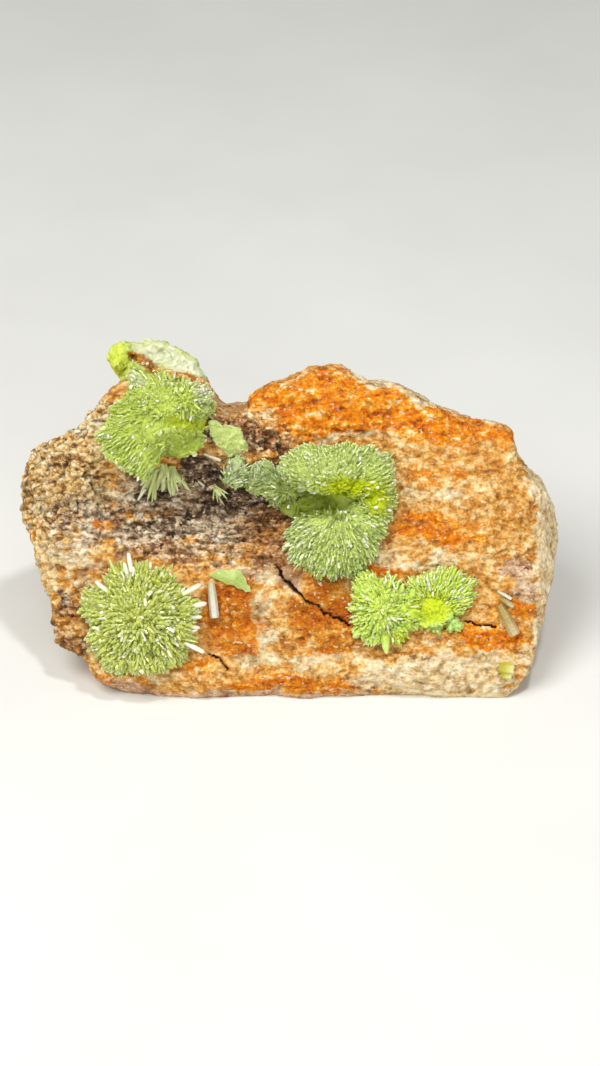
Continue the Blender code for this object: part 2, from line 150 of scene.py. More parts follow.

# %% [markdown]
# ## Where the stone's colours lie
# Rust has soaked into the stone in patches, and each patch of the real face has its own mix of colours:
# vivid orange at the top right, golden sugar on the left, near-black under the ridge, and cream where the
# rust is thin. The near-black zone is partly dark stone and partly painted shade under the ridge and the
# crystals. One more zone is nothing but painted shade, most of it beside and under the crystals. Each zone is
# a few soft ovals on the face, given as (u, v, half width, half height, turn in degrees, strength). Their
# outlines are bent with noise, so no oval shows. The strength is kept on the mesh as an attribute, and the
# material mixes its colours by it. An image would need unwrapping and would blur close up. Numbers kept on
# the mesh stay sharp and stay fixed to the stone.

# %% Colour zones of the crystal face
ZONES = {
    "rust": [
        (0.1, 13.95, 2.5, 0.7, -10, 1.2), (1.4, 13.1, 1.7, 1.1, -10, 1.2), (2.9, 14.0, 2.6, 1.5, -8, 1.2),
        (6.6, 13.1, 3.5, 1.0, -12, 1.0), (9.2, 12.5, 1.6, 0.6, -10, 0.9), (6.4, 8.5, 2.3, 0.9, 0, 0.8),
        (8.0, 7.4, 1.4, 0.6, 0, 0.6), (4.6, 6.2, 1.1, 0.5, 0, 1.1), (-2.3, 4.1, 1.6, 1.6, 0, 1.2),
        (1.8, 4.1, 1.8, 2.2, 0, 1.0), (9.8, 4.5, 1.9, 0.6, -8, 1.0), (9.6, 3.2, 1.8, 0.6, -12, 1.2),
        (0.6, 1.0, 3.6, 0.3, 0, 1.2), (-3.7, 1.8, 1.5, 0.6, 0, 0.6), (-7.6, 1.3, 1.4, 0.3, 0, 0.5),
        (-8.2, 8.3, 0.7, 0.5, 0, 0.6), (-5.3, 9.1, 0.8, 0.6, 0, 0.5), (6.6, 10.8, 2.8, 0.7, 0, 0.4),
        (10.8, 10.1, 0.9, 0.7, 0, 0.3),
    ],
    "pale": [
        (2.7, 12.4, 1.8, 0.25, 5, 0.7), (6.8, 14.15, 4.2, 0.28, -16, 1.2), (3.9, 15.2, 1.6, 0.3, -20, 1.0),
        (11.4, 10.4, 0.6, 0.5, -60, 1.0), (-2.5, 13.9, 0.9, 0.4, -40, 1.0), (-1.5, 13.3, 0.8, 0.2, -15, 0.8),
        (6.9, 9.6, 2.1, 0.4, -3, 0.8), (6.2, 6.8, 2.9, 0.6, -5, 0.7), (0.6, 2.1, 3.5, 0.4, 0, 0.8),
        (7.6, 0.3, 4.6, 0.7, 0, 1.1), (6.6, 1.6, 3.9, 0.8, 4, 1.2), (12.3, 8.0, 0.8, 3.2, 0, 1.6),
        (9.3, 1.4, 1.2, 0.6, 0, 1.3), (-10.2, 6.4, 1.3, 1.4, 0, 0.6), (12.3, 6.0, 0.8, 4.6, 0, 1.6),
        (-8.2, 9.7, 1.3, 0.6, 0, 0.6), (-1.1, 3.9, 0.6, 1.8, 0, 0.8), (-0.9, 5.6, 0.4, 1.0, -10, 0.5),
        (11.9, 9.2, 0.6, 1.2, 0, 0.8), (11.2, 2.1, 0.6, 0.7, 0, 0.7),
    ],
    # Partly dark stone and partly painted shade: near-black under the ridge and the crown, and dark under the
    # hemisphere, under the right fans and between the crown and the small lobe.
    "dark": [
        (-3.8, 9.2, 3.4, 1.5, 0, 0.50), (-1.9, 9.8, 2.3, 0.8, 0, 1.2), (-5.6, 10.6, 2.1, 0.4, 0, 0.9),
        (-3.7, 10.8, 1.4, 0.7, -25, 1.2), (-2.8, 7.4, 2.1, 1.0, 0, 0.55), (-10.2, 5.1, 0.3, 0.3, 0, 1.0),
        (-6.3, 9.6, 1.6, 0.4, 5, 0.5), (1.7, 5.5, 1.0, 0.3, 0, 0.4), (5.5, 2.9, 2.1, 0.2, 8, 0.4),
        (-9.5, 3.7, 0.6, 1.2, 0, 0.4), (-1.6, 12.5, 1.6, 0.5, -22, 0.5), (-3.4, 12.4, 0.4, 0.9, 0, 0.8),
        (-8.5, 10.6, 1.9, 0.5, 0, 0.4),
    ],
    "earth": [
        (-0.7, 7.8, 1.8, 1.6, 0, 0.9), (0.3, 5.95, 0.6, 0.6, 0, 1.0), (1.9, 5.1, 1.1, 0.8, 0, 0.7),
        (-4.9, 7.1, 3.2, 0.8, 0, 0.7), (-8.6, 6.2, 0.7, 0.6, 0, 1.0), (-9.9, 3.9, 0.9, 1.3, 0, 0.9),
        (-1.5, 12.4, 1.9, 0.65, -22, 1.2), (5.2, 7.6, 1.9, 0.6, 0, 0.4), (0.6, 2.8, 0.9, 0.7, 0, 0.5),
    ],
    "grey": [
        (-4.6, 8.6, 4.8, 2.2, 0, 1.0), (-8.8, 8.4, 2.2, 1.4, 0, 0.8), (-9.0, 5.4, 1.2, 1.6, 0, 0.6),
        (-1.6, 6.2, 1.2, 1.6, 0, 0.5), (10.9, 5.4, 0.8, 1.4, 0, 0.6), (-5.0, 6.6, 2.4, 0.7, 0, 0.5),
    ],
    # Painted shade: the dim zone darkens the stone in shaded places, most of them beside and under the
    # crystals.
    "dim": [
        (0.3, 5.95, 0.6, 0.55, -20, 1.0), (1.9, 5.0, 1.0, 0.8, 0, 0.7), (-2.3, 4.1, 1.7, 1.7, 0, 0.9),
        (1.8, 4.2, 2.0, 2.2, 0, 0.9), (9.8, 4.2, 1.9, 0.8, -8, 0.5), (0.6, 1.0, 3.6, 0.35, 0, 0.4),
        (-9.6, 3.8, 1.2, 1.6, 0, 0.9), (-1.7, 12.4, 1.8, 0.8, 0, 0.4), (-10.6, 10.4, 2.6, 2.2, 0, 0.5),
        (3.0, 1.9, 2.0, 0.5, 0, 0.3), (-0.6, 7.4, 1.8, 1.3, 0, 0.6), (-8.6, 6.0, 1.0, 0.7, 0, 0.6),
    ],
    "gold": [
        (-10.6, 10.6, 2.5, 2.8, 0, 1.0), (-8.6, 12.7, 1.6, 1.4, 35, 1.0), (-11.1, 6.4, 1.0, 3.2, -12, 0.8),
    ],
    "pink": [
        (10.8, 5.6, 1.0, 1.4, 0, 0.45), (-1.5, 0.25, 8.0, 0.42, 0, 1.5), (-7.5, 0.75, 2.5, 0.4, -8, 1.3),
        (7.1, 7.0, 2.3, 0.6, 0, 0.4), (0.3, 5.9, 0.6, 0.6, 0, 1.0),
    ],
}
print(sum(len(patches) for patches in ZONES.values()), "soft patches in", len(ZONES), "zones")

# %% [markdown]
# ## Reading the zones
# Every soft shape in this scene is an oval with a fading edge, so one function measures how far a point lies
# from an oval's middle and another keeps the strongest oval at each point. Noise pushes the points about
# first, which bends every outline that is read through them. Paint fades out behind the face, which the
# photograph does not show.

# %% Soft ovals
ZONE_WARP = 0.35
ZONE_WARP_FREQUENCY = 0.9
ZONE_EDGE = (1.5, 0.5)
PAINT_DEPTH = (-5.0, -1.5)


def smooth_step(low, high, x):
    """Nothing below low, one above high, and an even rise between."""
    t = np.clip((x - low) / (high - low), 0, 1)
    return t * t * (3 - 2 * t)


def oval(points, u, v, half_width, half_height, turn):
    """How far each point lies from an oval's middle: 0 there, 1 on its outline."""
    c, s = math.cos(math.radians(turn)), math.sin(math.radians(turn))
    along = ((points[:, 0] - u) * c + (points[:, 1] - v) * s) / half_width
    across = ((points[:, 1] - v) * c - (points[:, 0] - u) * s) / half_height
    return np.hypot(along, across)


def zone_strength(points, patches):
    """The strongest of a zone's soft ovals at each point."""
    strength = np.zeros(len(points))
    for *place, amount in patches:
        strength = np.maximum(strength, amount * smooth_step(*ZONE_EDGE, oval(points, *place)))
    return strength


def warped(points):
    """The points pushed about by noise, which bends every outline that is drawn through them."""
    moved = points.copy()
    moved[:, 0] += ZONE_WARP * noise_at(points, ZONE_WARP_FREQUENCY, offset=11.0)
    moved[:, 1] += ZONE_WARP * noise_at(points, ZONE_WARP_FREQUENCY, offset=23.0)
    return moved


print("an oval fades from", ZONE_EDGE[1], "to", ZONE_EDGE[0], "of its size")

# %% [markdown]
# ## The stone's skin
# The stone is one solid lump with a rough, sugary, broken surface. Sculpting it by hand would be slow and
# could not be repeated, so it starts as a copy of the plain solid. A voxel remesh gives it small even faces,
# which is what carving needs, and a light smoothing takes away the large facets.

# %% Even skin over the plain solid
SKIN_VOXEL = 0.088
SKIN_SMOOTHING = 14
MERGE_DISTANCE = 1e-5


def even_skin():
    """The stone's solid in face coordinates, with small even faces."""
    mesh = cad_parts["matrix_stone"].data.copy()
    mesh.transform(OFF_FACE)
    bm = bmesh.new()
    bm.from_mesh(mesh)
    bmesh.ops.remove_doubles(bm, verts=bm.verts, dist=MERGE_DISTANCE)
    bm.to_mesh(mesh)
    bm.free()
    obj = new_object("stone_work", mesh)
    skin = obj.modifiers.new("even_skin", "REMESH")
    skin.mode = "VOXEL"
    skin.voxel_size = SKIN_VOXEL
    ease = obj.modifiers.new("ease_facets", "SMOOTH")
    ease.iterations = SKIN_SMOOTHING
    return settled_mesh(obj)


stone_mesh = even_skin()
print("even skin:", len(stone_mesh.vertices), "points")

# %% [markdown]
# ## Cracks, bands and rough places
# A few cracks run across the face, and layers of the old rock show as fine bands. Some places are broken to
# sugar and others are almost smooth. A crack is a line of points (u, v, width), and each place on the skin
# is carved by how near it is to the line. A hollow is a soft oval that is cut to its depth, and the bands
# are noise that is stretched sideways. Nothing moves yet: the depths are only kept on the mesh as numbers,
# and the next step moves every point once.

# %% Cracks, bands and how rough each place is
CRACKS = [
    [(-0.41, 6.44, 0.06), (-0.05, 5.75, 0.13), (0.45, 5.30, 0.14), (1.10, 4.72, 0.10), (1.45, 4.58, 0.09),
     (1.80, 4.25, 0.09), (2.35, 4.05, 0.09), (2.99, 3.68, 0.07)],
    [(8.14, 4.00, 0.08), (8.83, 3.82, 0.09), (9.70, 3.68, 0.05)],
    [(-3.70, 2.45, 0.06), (-3.10, 2.20, 0.08), (-2.70, 1.80, 0.05)],
]
CRACK_DEPTH = 0.38
CRACK_WALL = (1.0, 0.25)
CRACK_WANDER = 0.12
CRACK_WANDER_FREQUENCY = 2.5
HOLLOWS = [(-2.70, 14.15, 0.95, 0.80, -40, 0.60)]
BANDED = [
    (-4.0, 8.8, 4.8, 2.2, 0, 1.8), (-10.4, 6.0, 1.6, 3.0, 0, 1.0), (0.6, 0.2, 10.0, 0.6, 0, 0.7),
    (2.7, 12.4, 2.0, 0.5, 4, 1.0),
]
BAND_FREQUENCY = (0.5, 5.5, 0.9)
BAND_HEIGHT = 0.10
SMOOTH_PLACES = [(0.3, 5.9, 0.6, 0.6, 0, 0.9), (12.1, 6.0, 0.6, 4.4, 0, 0.8), (2.2, 5.2, 1.2, 0.7, 0, 0.5)]
COARSE_PLACES = [
    (-4.0, 8.8, 4.6, 2.2, 0, 1.2), (-10.5, 10.5, 2.6, 3.0, 0, 1.2), (-8.6, 12.7, 1.6, 1.4, 35, 1.0),
    (-1.6, 12.4, 1.8, 0.9, -20, 1.6), (-9.8, 4.0, 1.4, 1.6, 0, 1.0),
]
EVEN_ROUGHNESS = 0.75
COARSE_SHARE = 0.6
FLAT_BASE_FADE = (0.0, 0.0006)


def inside_crack(points, line):
    """How deep inside a crack each point is: one on its line, nothing beyond its width there."""
    flat = points[:, :2]
    deepest = np.zeros(len(points))
    for *start, start_width in line[:-1]:
        *end, end_width = line[line.index((*start, start_width)) + 1]
        start, run = np.array(start), np.subtract(end, start)
        along = np.clip(((flat - start) @ run) / (run @ run), 0, 1)
        width = start_width + (end_width - start_width) * along
        away = np.linalg.norm(flat - start - along[:, None] * run, axis=1)
        deepest = np.maximum(deepest, smooth_step(*CRACK_WALL, away / width))
    return deepest


def carve_stone(mesh):
    """Keep on the mesh how deep each place is carved and how rough it is."""
    points = points_of(mesh)
    bent = warped(points)
    wander = points.copy()
    wander[:, 0] += CRACK_WANDER * noise_at(points, CRACK_WANDER_FREQUENCY, offset=5.0)
    wander[:, 1] += CRACK_WANDER * noise_at(points, CRACK_WANDER_FREQUENCY, offset=8.0)
    front = smooth_step(*PAINT_DEPTH, points[:, 2])
    crack = np.zeros(len(points))
    for line in CRACKS:
        crack = np.maximum(crack, inside_crack(wander, line))
    put_attribute(mesh, "crack", crack * front)
    carve = -CRACK_DEPTH * crack - zone_strength(bent, HOLLOWS)
    bands = noise_at(points * BAND_FREQUENCY, 1.0, depth=2, offset=31.0)
    carve = carve * front + BAND_HEIGHT * bands * zone_strength(bent, BANDED) * front
    rough = EVEN_ROUGHNESS * (1 - zone_strength(bent, SMOOTH_PLACES))
    rough = rough + COARSE_SHARE * zone_strength(bent, COARSE_PLACES)
    above_base = (points @ np.array(FACE)[2, :3]) + FACE.translation.z
    fade = smooth_step(*FLAT_BASE_FADE, above_base)
    put_attribute(mesh, "carve", carve * fade)
    put_attribute(mesh, "rough_here", rough * fade)


carve_stone(stone_mesh)
print("carved", len(CRACKS), "cracks")

# %% [markdown]
# ## Node trees by script
# Geometry Nodes and materials are both trees of nodes, so the same helper adds a node to either and fills
# its sockets with numbers or with links. A Geometry Nodes tree gets named inputs, like a function. To run
# it, an object takes it as a modifier. The modifier knows its inputs only by identifier, so each is looked
# up by name.

# %% Helpers for node trees


def node(tree, kind, values=None, **settings):
    """A new node. Its inputs take numbers, or other nodes' outputs, by name or place."""
    made = tree.nodes.new(kind)
    for key, value in settings.items():
        setattr(made, key, value)
    for key, value in (values or {}).items():
        if isinstance(value, bpy.types.NodeSocket):
            tree.links.new(value, made.inputs[key])
        else:
            made.inputs[key].default_value = value
    return made


def maths(tree, operation, *values):
    """The result of one sum on numbers or sockets."""
    return node(tree, "ShaderNodeMath", dict(enumerate(values)), operation=operation).outputs[0]


def new_tree(name, inputs):
    """An empty Geometry Nodes tree with the named inputs, given as (name, socket type, default)."""
    tree = bpy.data.node_groups.new(name, "GeometryNodeTree")
    tree.interface.new_socket("Geometry", in_out="INPUT", socket_type="NodeSocketGeometry")
    for label, kind, default in inputs:
        socket = tree.interface.new_socket(label, in_out="INPUT", socket_type="NodeSocket" + kind)
        if default is not None:
            socket.default_value = default
    tree.interface.new_socket("Geometry", in_out="OUTPUT", socket_type="NodeSocketGeometry")
    return tree, tree.nodes.new("NodeGroupInput").outputs, tree.nodes.new("NodeGroupOutput").inputs


def kept_number(tree, name):
    """A number kept on the mesh, read inside a Geometry Nodes tree."""
    return node(tree, "GeometryNodeInputNamedAttribute", {"Name": name}, data_type="FLOAT").outputs[0]


def run_tree(mesh, tree, values):
    """The mesh that a tree makes of another mesh, with the tree's inputs set by identifier."""
    obj = new_object(tree.name + "_work", mesh)
    modifier = obj.modifiers.new(tree.name, "NODES")
    modifier.node_group = tree
    for item in tree.interface.items_tree:
        if item.item_type == "SOCKET" and item.in_out == "INPUT" and item.name in values:
            modifier[item.identifier] = values[item.name]
    return settled_mesh(obj)


print("helpers for node trees ready")

# %% [markdown]
# ## Geometry Nodes: lumps, grains and chips
# Broken rock is rough at every size. One tree adds three kinds of bump along each point's normal: lumps of
# about a millimetre, grains of about a third of one, and chips, which are Voronoi cells that each stand at
# their own height. It also adds the carved cracks and bands. A displacement in the material would be
# cheaper, but it would be lost when the model is exported. The tree keeps how deep each point lies beside
# its neighbours, because the finish darkens hollows and lightens crests as painted shade and painted light.

# %% Geometry Nodes: lumps, grains and chips
STONE_RELIEF = {"Lump Height": 0.34, "Grain Height": 0.40, "Chip Height": 0.11}
LUMP_DETAIL = (2.0, 0.5)
GRAIN_DETAIL = (3.0, 0.62)
BEND_DETAIL = 2.0


def broken_stone_tree():
    """Pushes a skin in and out, and keeps how deep each point lies beside its neighbours."""
    tree, given, result = new_tree("broken_stone", [
        ("Lump Frequency", "Float", 0.9),
        ("Lump Height", "Float", 0.3),
        ("Grain Frequency", "Float", 2.6),
        ("Grain Height", "Float", 0.3),
        ("Chip Frequency", "Float", 3.4),
        ("Chip Height", "Float", 0.1),
        ("Bend", "Float", 3.0),
        ("Neighbours", "Int", 8),
    ])
    place = node(tree, "GeometryNodeInputPosition").outputs[0]
    rough = kept_number(tree, "rough_here")
    carve = kept_number(tree, "carve")

    def bumps(frequency, height, detail, roughness):
        cloud = node(tree, "ShaderNodeTexNoise", {
            "Vector": place,
            "Scale": frequency,
            "Detail": detail,
            "Roughness": roughness,
        }).outputs[0]
        return maths(tree, "MULTIPLY", maths(tree, "SUBTRACT", cloud, 0.5), height)

    lump = bumps(given["Lump Frequency"], given["Lump Height"], *LUMP_DETAIL)
    grain = bumps(given["Grain Frequency"], given["Grain Height"], *GRAIN_DETAIL)
    bend = node(tree, "ShaderNodeTexNoise", {
        "Vector": place,
        "Scale": given["Bend"],
        "Detail": BEND_DETAIL,
    })
    bent = node(tree, "ShaderNodeVectorMath", {
        0: bend.outputs["Color"],
        1: (0.5, 0.5, 0.5),
        2: place,
    }, operation="MULTIPLY_ADD")
    cells = node(tree, "ShaderNodeTexVoronoi", {"Vector": bent.outputs[0], "Scale": given["Chip Frequency"]})
    chance = node(tree, "FunctionNodeSeparateColor", {"Color": cells.outputs["Color"]}).outputs[0]
    step = maths(tree, "SUBTRACT", chance, cells.outputs["Distance"])
    chip = maths(tree, "MULTIPLY", step, given["Chip Height"])
    bumpy = maths(tree, "ADD", lump, maths(tree, "ADD", grain, chip))
    height = maths(tree, "ADD", maths(tree, "MULTIPLY", bumpy, rough), carve)
    around = node(tree, "GeometryNodeBlurAttribute", {
        "Value": height,
        "Iterations": given["Neighbours"],
    }, data_type="FLOAT").outputs[0]
    keep = node(tree, "GeometryNodeStoreNamedAttribute", {
        "Geometry": given["Geometry"],
        "Name": "relief",
        "Value": maths(tree, "SUBTRACT", height, around),
    }, data_type="FLOAT", domain="POINT")
    normal = node(tree, "GeometryNodeInputNormal").outputs[0]
    push = node(tree, "ShaderNodeVectorMath", {0: normal, "Scale": height}, operation="SCALE").outputs[0]
    moved = node(tree, "GeometryNodeSetPosition", {"Geometry": keep.outputs[0], "Offset": push})
    tree.links.new(moved.outputs[0], result["Geometry"])
    return tree


stone_mesh = run_tree(stone_mesh, broken_stone_tree(), STONE_RELIEF)
print("roughened", len(stone_mesh.polygons), "faces")

# %% [markdown]
# ## Fewer faces, then the painted zones
# The fine skin has far more faces than the back of the stone needs. A Decimate modifier with a vertex group
# takes most of them away behind the face and leaves the front sharp. The zones are painted after that, on
# the points that stay.

# %% Fewer faces where nobody looks, then the painted zones
STONE_FACES = 190000
UNSEEN_DEPTH = (-1.0, -2.5)
FRONT_THINNING = 0.1
THINNING_LEVELS = 10
THINNING_PULL = 3.0


def thin_out(mesh, target, hidden):
    """Fewer faces, most of them taken where hidden is high."""
    obj = new_object("thin_work", mesh)
    group = obj.vertex_groups.new(name="hidden")
    levels = np.round(hidden * THINNING_LEVELS) / THINNING_LEVELS
    for level in np.unique(levels):
        group.add(np.flatnonzero(levels == level).tolist(), float(level), "REPLACE")
    thin = obj.modifiers.new("fewer_faces", "DECIMATE")
    thin.ratio = min(1.0, target / (2 * len(mesh.polygons)))
    thin.vertex_group = "hidden"
    thin.vertex_group_factor = THINNING_PULL
    return settled_mesh(obj)


def paint_zones(mesh):
    """Keep each zone's strength on the mesh, fading out behind the face."""
    points = points_of(mesh)
    bent = warped(points)
    front = smooth_step(*PAINT_DEPTH, points[:, 2])
    for name, patches in ZONES.items():
        put_attribute(mesh, name, zone_strength(bent, patches) * front)
    put_attribute(mesh, "front", front)


behind = smooth_step(*UNSEEN_DEPTH, points_of(stone_mesh)[:, 2])
stone_mesh = thin_out(stone_mesh, STONE_FACES, FRONT_THINNING + (1 - FRONT_THINNING) * behind)
paint_zones(stone_mesh)
stone_mesh.shade_smooth()
print("stone skin:", len(stone_mesh.polygons), "faces")

# %% [markdown]
# ## Tools for finishes
# Every material here is procedural: colours are read from strips at a tone that comes from noise. A few
# helpers make that short. The coordinates are the object's own, turned into millimetres, so a scale of 5
# means five grains in a millimetre. Colours are written from 0 to 255, as on a paint chart, and turned into
# light values.

# %% Tools for finishes
TO_LINEAR = 2.2


def paint(red, green, blue):
    """A colour as a paint chart gives it, from 0 to 255, as light values."""
    return tuple((x / 255) ** TO_LINEAR for x in (red, green, blue))


def new_finish(name):
    """An empty material with its shader and with coordinates in millimetres."""
    made = bpy.data.materials.new(name)
    made.use_nodes = True
    tree = made.node_tree
    shader = tree.nodes["Principled BSDF"]
    places = node(tree, "ShaderNodeTexCoord").outputs["Object"]
    scaled = node(tree, "ShaderNodeMapping", {"Vector": places, "Scale": (1 / MM, 1 / MM, 1 / MM)})
    return made, tree, shader, scaled.outputs[0]


def strip(tree, factor, stops):
    """Colours read from a strip of (place, colour) at the factor."""
    made = node(tree, "ShaderNodeValToRGB", {"Fac": factor})
    marks = made.color_ramp.elements
    while len(marks) < len(stops):
        marks.new(1.0)
    for mark, (place, colour) in zip(marks, stops):
        mark.position = place
        mark.color = (*colour, 1.0)
    return made.outputs["Color"]


def blend(tree, factor, first, second, kind="MIX"):
    """The second colour over the first by the factor."""
    made = node(tree, "ShaderNodeMix", {0: factor, 6: first, 7: second}, data_type="RGBA", blend_type=kind)
    return made.outputs[2]


def stretch(tree, value, low, high, to_low=0.0, to_high=1.0):
    """A value moved from one range to another, and held inside it."""
    made = node(tree, "ShaderNodeMapRange", {0: value, 1: low, 2: high, 3: to_low, 4: to_high})
    return made.outputs[0]


def kept(tree, name):
    """A number kept on the mesh."""
    return node(tree, "ShaderNodeAttribute", attribute_name=name).outputs["Fac"]


def cloud(tree, place, scale, detail, roughness=0.6):
    """Noise from 0 to 1."""
    made = node(tree, "ShaderNodeTexNoise", {
        "Vector": place,
        "Scale": scale,
        "Detail": detail,
        "Roughness": roughness,
    })
    return made.outputs[0]


print("finish tools ready")

# %% [markdown]
# ## The stone's patterns
# The stone's colour needs grain at several sizes: broad mottling, specks, fine grain, and crumbs that each
# have a tone of their own with a dark gap round them. Noise gives the first three and a Voronoi pattern the
# crumbs. The noise is a little stretched along the layers of the rock. All of it is summed to one number,
# the tone, so every colour strip that is read at it shares the same grain, as stains on real rock do.

# %% Patterns of the stone
STRIPS = {
    "ground": [(0.0, (150, 96, 40)), (0.28, (196, 130, 52)), (0.5, (218, 158, 78)), (0.72, (238, 194, 126)),
               (1.0, (250, 226, 178))],
    "behind": [(0.0, (120, 88, 56)), (0.35, (186, 138, 82)), (0.6, (206, 170, 122)), (1.0, (236, 212, 172))],
    "gold": [(0.0, (132, 94, 50)), (0.3, (204, 160, 96)), (0.55, (230, 196, 134)), (0.8, (249, 226, 176)),
             (1.0, (253, 240, 210))],
    "grey": [(0.0, (70, 56, 46)), (0.3, (148, 124, 98)), (0.55, (200, 176, 144)), (0.78, (226, 206, 176)),
             (1.0, (246, 234, 212))],
    "earth": [(0.0, (60, 34, 18)), (0.3, (130, 84, 44)), (0.55, (180, 126, 76)), (0.8, (214, 166, 116)),
              (1.0, (240, 212, 170))],
    "pink": [(0.0, (136, 96, 70)), (0.4, (198, 154, 116)), (0.7, (218, 182, 148)), (1.0, (238, 214, 186))],
    "rust": [(0.0, (150, 70, 0)), (0.25, (206, 106, 0)), (0.55, (228, 134, 2)), (0.75, (238, 166, 50)),
             (0.9, (246, 202, 130)), (1.0, (252, 228, 184))],
    "pale": [(0.0, (156, 120, 72)), (0.3, (212, 178, 124)), (0.6, (234, 208, 160)), (1.0, (252, 242, 214))],
    "dark": [(0.0, (24, 18, 14)), (0.3, (62, 48, 36)), (0.55, (106, 84, 62)), (0.75, (156, 130, 102)),
             (1.0, (222, 200, 168))],
}
LAYER_ORDER = ["gold", "grey", "earth", "pink", "rust", "pale", "dark"]
LAYERING = (0.62, 1.0, 1.0)
LAYERED_NOISE = {
    "mottle": (1.3, 8.0, 0.66),
    "speck": (3.6, 5.0, 0.62),
    "stain": (0.8, 9.0, 0.68),
    "fleck": (6.0, 4.0, 0.5),
    "pit": (3.4, 5.0, 0.62),
}
EVEN_NOISE = {"grain": (7.5, 2.0, 0.5), "drift": (0.35, 4.0, 0.6)}
CRUMB_SCALE = 4.6
CRUMB_BEND = (0.25, 0.25, 0.25)
CRUMB_BENDER = {"Scale": 3.0, "Detail": 2.0}
CRUMBLY = (0.7, 1.5, 0.35, 1.0)
MOTTLE_SWING = (1.8, -0.4)
SPECK_SWING = 1.8
CRUMB_SWING = 0.55
GRAIN_SWING = 0.8
RELIEF_SHADE_SWING = 1.5


def stone_patterns(tree, place):
    """Every pattern that the stone's finish is made of, by name."""
    layered = node(tree, "ShaderNodeVectorMath", {0: place, 1: LAYERING}, operation="MULTIPLY").outputs[0]
    bender = node(tree, "ShaderNodeTexNoise", {"Vector": place} | CRUMB_BENDER)
    bent = node(tree, "ShaderNodeVectorMath", {
        0: bender.outputs["Color"],
        1: CRUMB_BEND,
        2: layered,
    }, operation="MULTIPLY_ADD").outputs[0]
    crumbs = node(tree, "ShaderNodeTexVoronoi", {"Vector": bent, "Scale": CRUMB_SCALE}).outputs
    patterns = {name: cloud(tree, layered, *values) for name, values in LAYERED_NOISE.items()}
    patterns |= {name: cloud(tree, place, *values) for name, values in EVEN_NOISE.items()}
    patterns["crumb"] = node(tree, "ShaderNodeSeparateColor", {"Color": crumbs["Color"]}).outputs[0]
    patterns["gap"] = crumbs["Distance"]
    patterns["crumbly"] = stretch(tree, kept(tree, "rough_here"), *CRUMBLY)
    return patterns


def swung(tree, value, amount, base):
    """A base number, moved up and down by a pattern that runs from 0 to 1."""
    return maths(tree, "MULTIPLY_ADD", maths(tree, "SUBTRACT", value, 0.5), amount, base)


def stone_tone(tree, patterns):
    """One number that all the colour strips are read at."""
    tone = maths(tree, "MULTIPLY_ADD", patterns["mottle"], *MOTTLE_SWING)
    tone = swung(tree, patterns["speck"], SPECK_SWING, tone)
    tone = swung(tree, patterns["crumb"], maths(tree, "MULTIPLY", patterns["crumbly"], CRUMB_SWING), tone)
    tone = swung(tree, patterns["grain"], GRAIN_SWING, tone)
    # Painted shade and painted light: the tone drops in hollows and rises on crests by the relief.
    return maths(tree, "MULTIPLY_ADD", kept(tree, "relief"), RELIEF_SHADE_SWING, tone)


print(len(STRIPS), "colour strips")

# %% [markdown]
# ## The stone's finish
# The zones are laid over one another like washes of paint: sugar and grey rock first, then rust, then the
# pale places and the dark ones, which are partly painted shade, and last a zone of painted shade. A noise
# eats into each zone's edge. After them come pale flecks where it is chipped, which also stand for painted
# glints. Then come dark pits, gaps between crumbs and dark cracks, which are painted shade in the recesses,
# and painted shade in the hollows that get less light. The shine is low and uneven, and a bump adds the
# finest grain.

# %% The stone's finish
REAR_DRIFT = (0.5, 0.62)
STAINED_EDGE = (3.4, -0.42)
SPECKED_EDGE = 1.0
ZONE_CLIP = (0.0, 0.2)
ZONE_REACH = (0.0, 0.35)
SHADOW_REACH = (-0.1, 0.5)
SHADOW_TINT = (0.66, 0.60, 0.50, 1.0)
FLECKS = (0.60, 0.67)
FLECKED_PLACES = (0.40, 0.56, 0.0, 0.7)
FLECK_AND_GLINT_COLOUR = (252, 236, 204)
PITS = (0.38, 0.30, 0.0, 0.6)
GAPS = (0.5, 0.85, 0.0, 0.9)
PIT_SHADE_COLOUR = (72, 46, 26)
CRACK_WALLS = (0.2, 0.9)
CRACK_SHADE_COLOUR = (66, 40, 22)
HOLLOW_SHADE = (-0.14, 0.0, 0.5, 1.0)
STONE_SHINE = 0.25
STONE_GLOSS = (0.45, 0.65, 0.85, 0.4)
BUMP_GRAIN = 0.5
BUMP_GAP = -0.7
GRAIN_BUMP = 0.13


def zoned_colours(tree, patterns):
    """The strips laid over one another, each where its zone is."""
    tone = stone_tone(tree, patterns)
    tones = {name: strip(tree, tone, [(at, paint(*c)) for at, c in stops]) for name, stops in STRIPS.items()}
    rear = blend(tree, stretch(tree, patterns["drift"], *REAR_DRIFT), tones["behind"], tones["ground"])
    colour = blend(tree, kept(tree, "front"), rear, tones["ground"])
    edge = swung(tree, patterns["speck"], SPECKED_EDGE, swung(tree, patterns["stain"], *STAINED_EDGE))

    def reach(name, low, high):
        strength = kept(tree, name)
        wide = stretch(tree, maths(tree, "ADD", strength, edge), low, high)
        return maths(tree, "MULTIPLY", wide, stretch(tree, strength, *ZONE_CLIP))

    # The near-black layer among these is partly dark stone and partly painted shade.
    for name in LAYER_ORDER:
        colour = blend(tree, reach(name, *ZONE_REACH), colour, tones[name])
    # Painted shade: the dim zone darkens the colour by the shadow tint.
    shaded = blend(tree, 1.0, colour, SHADOW_TINT, "MULTIPLY")
    return blend(tree, reach("dim", *SHADOW_REACH), colour, shaded)


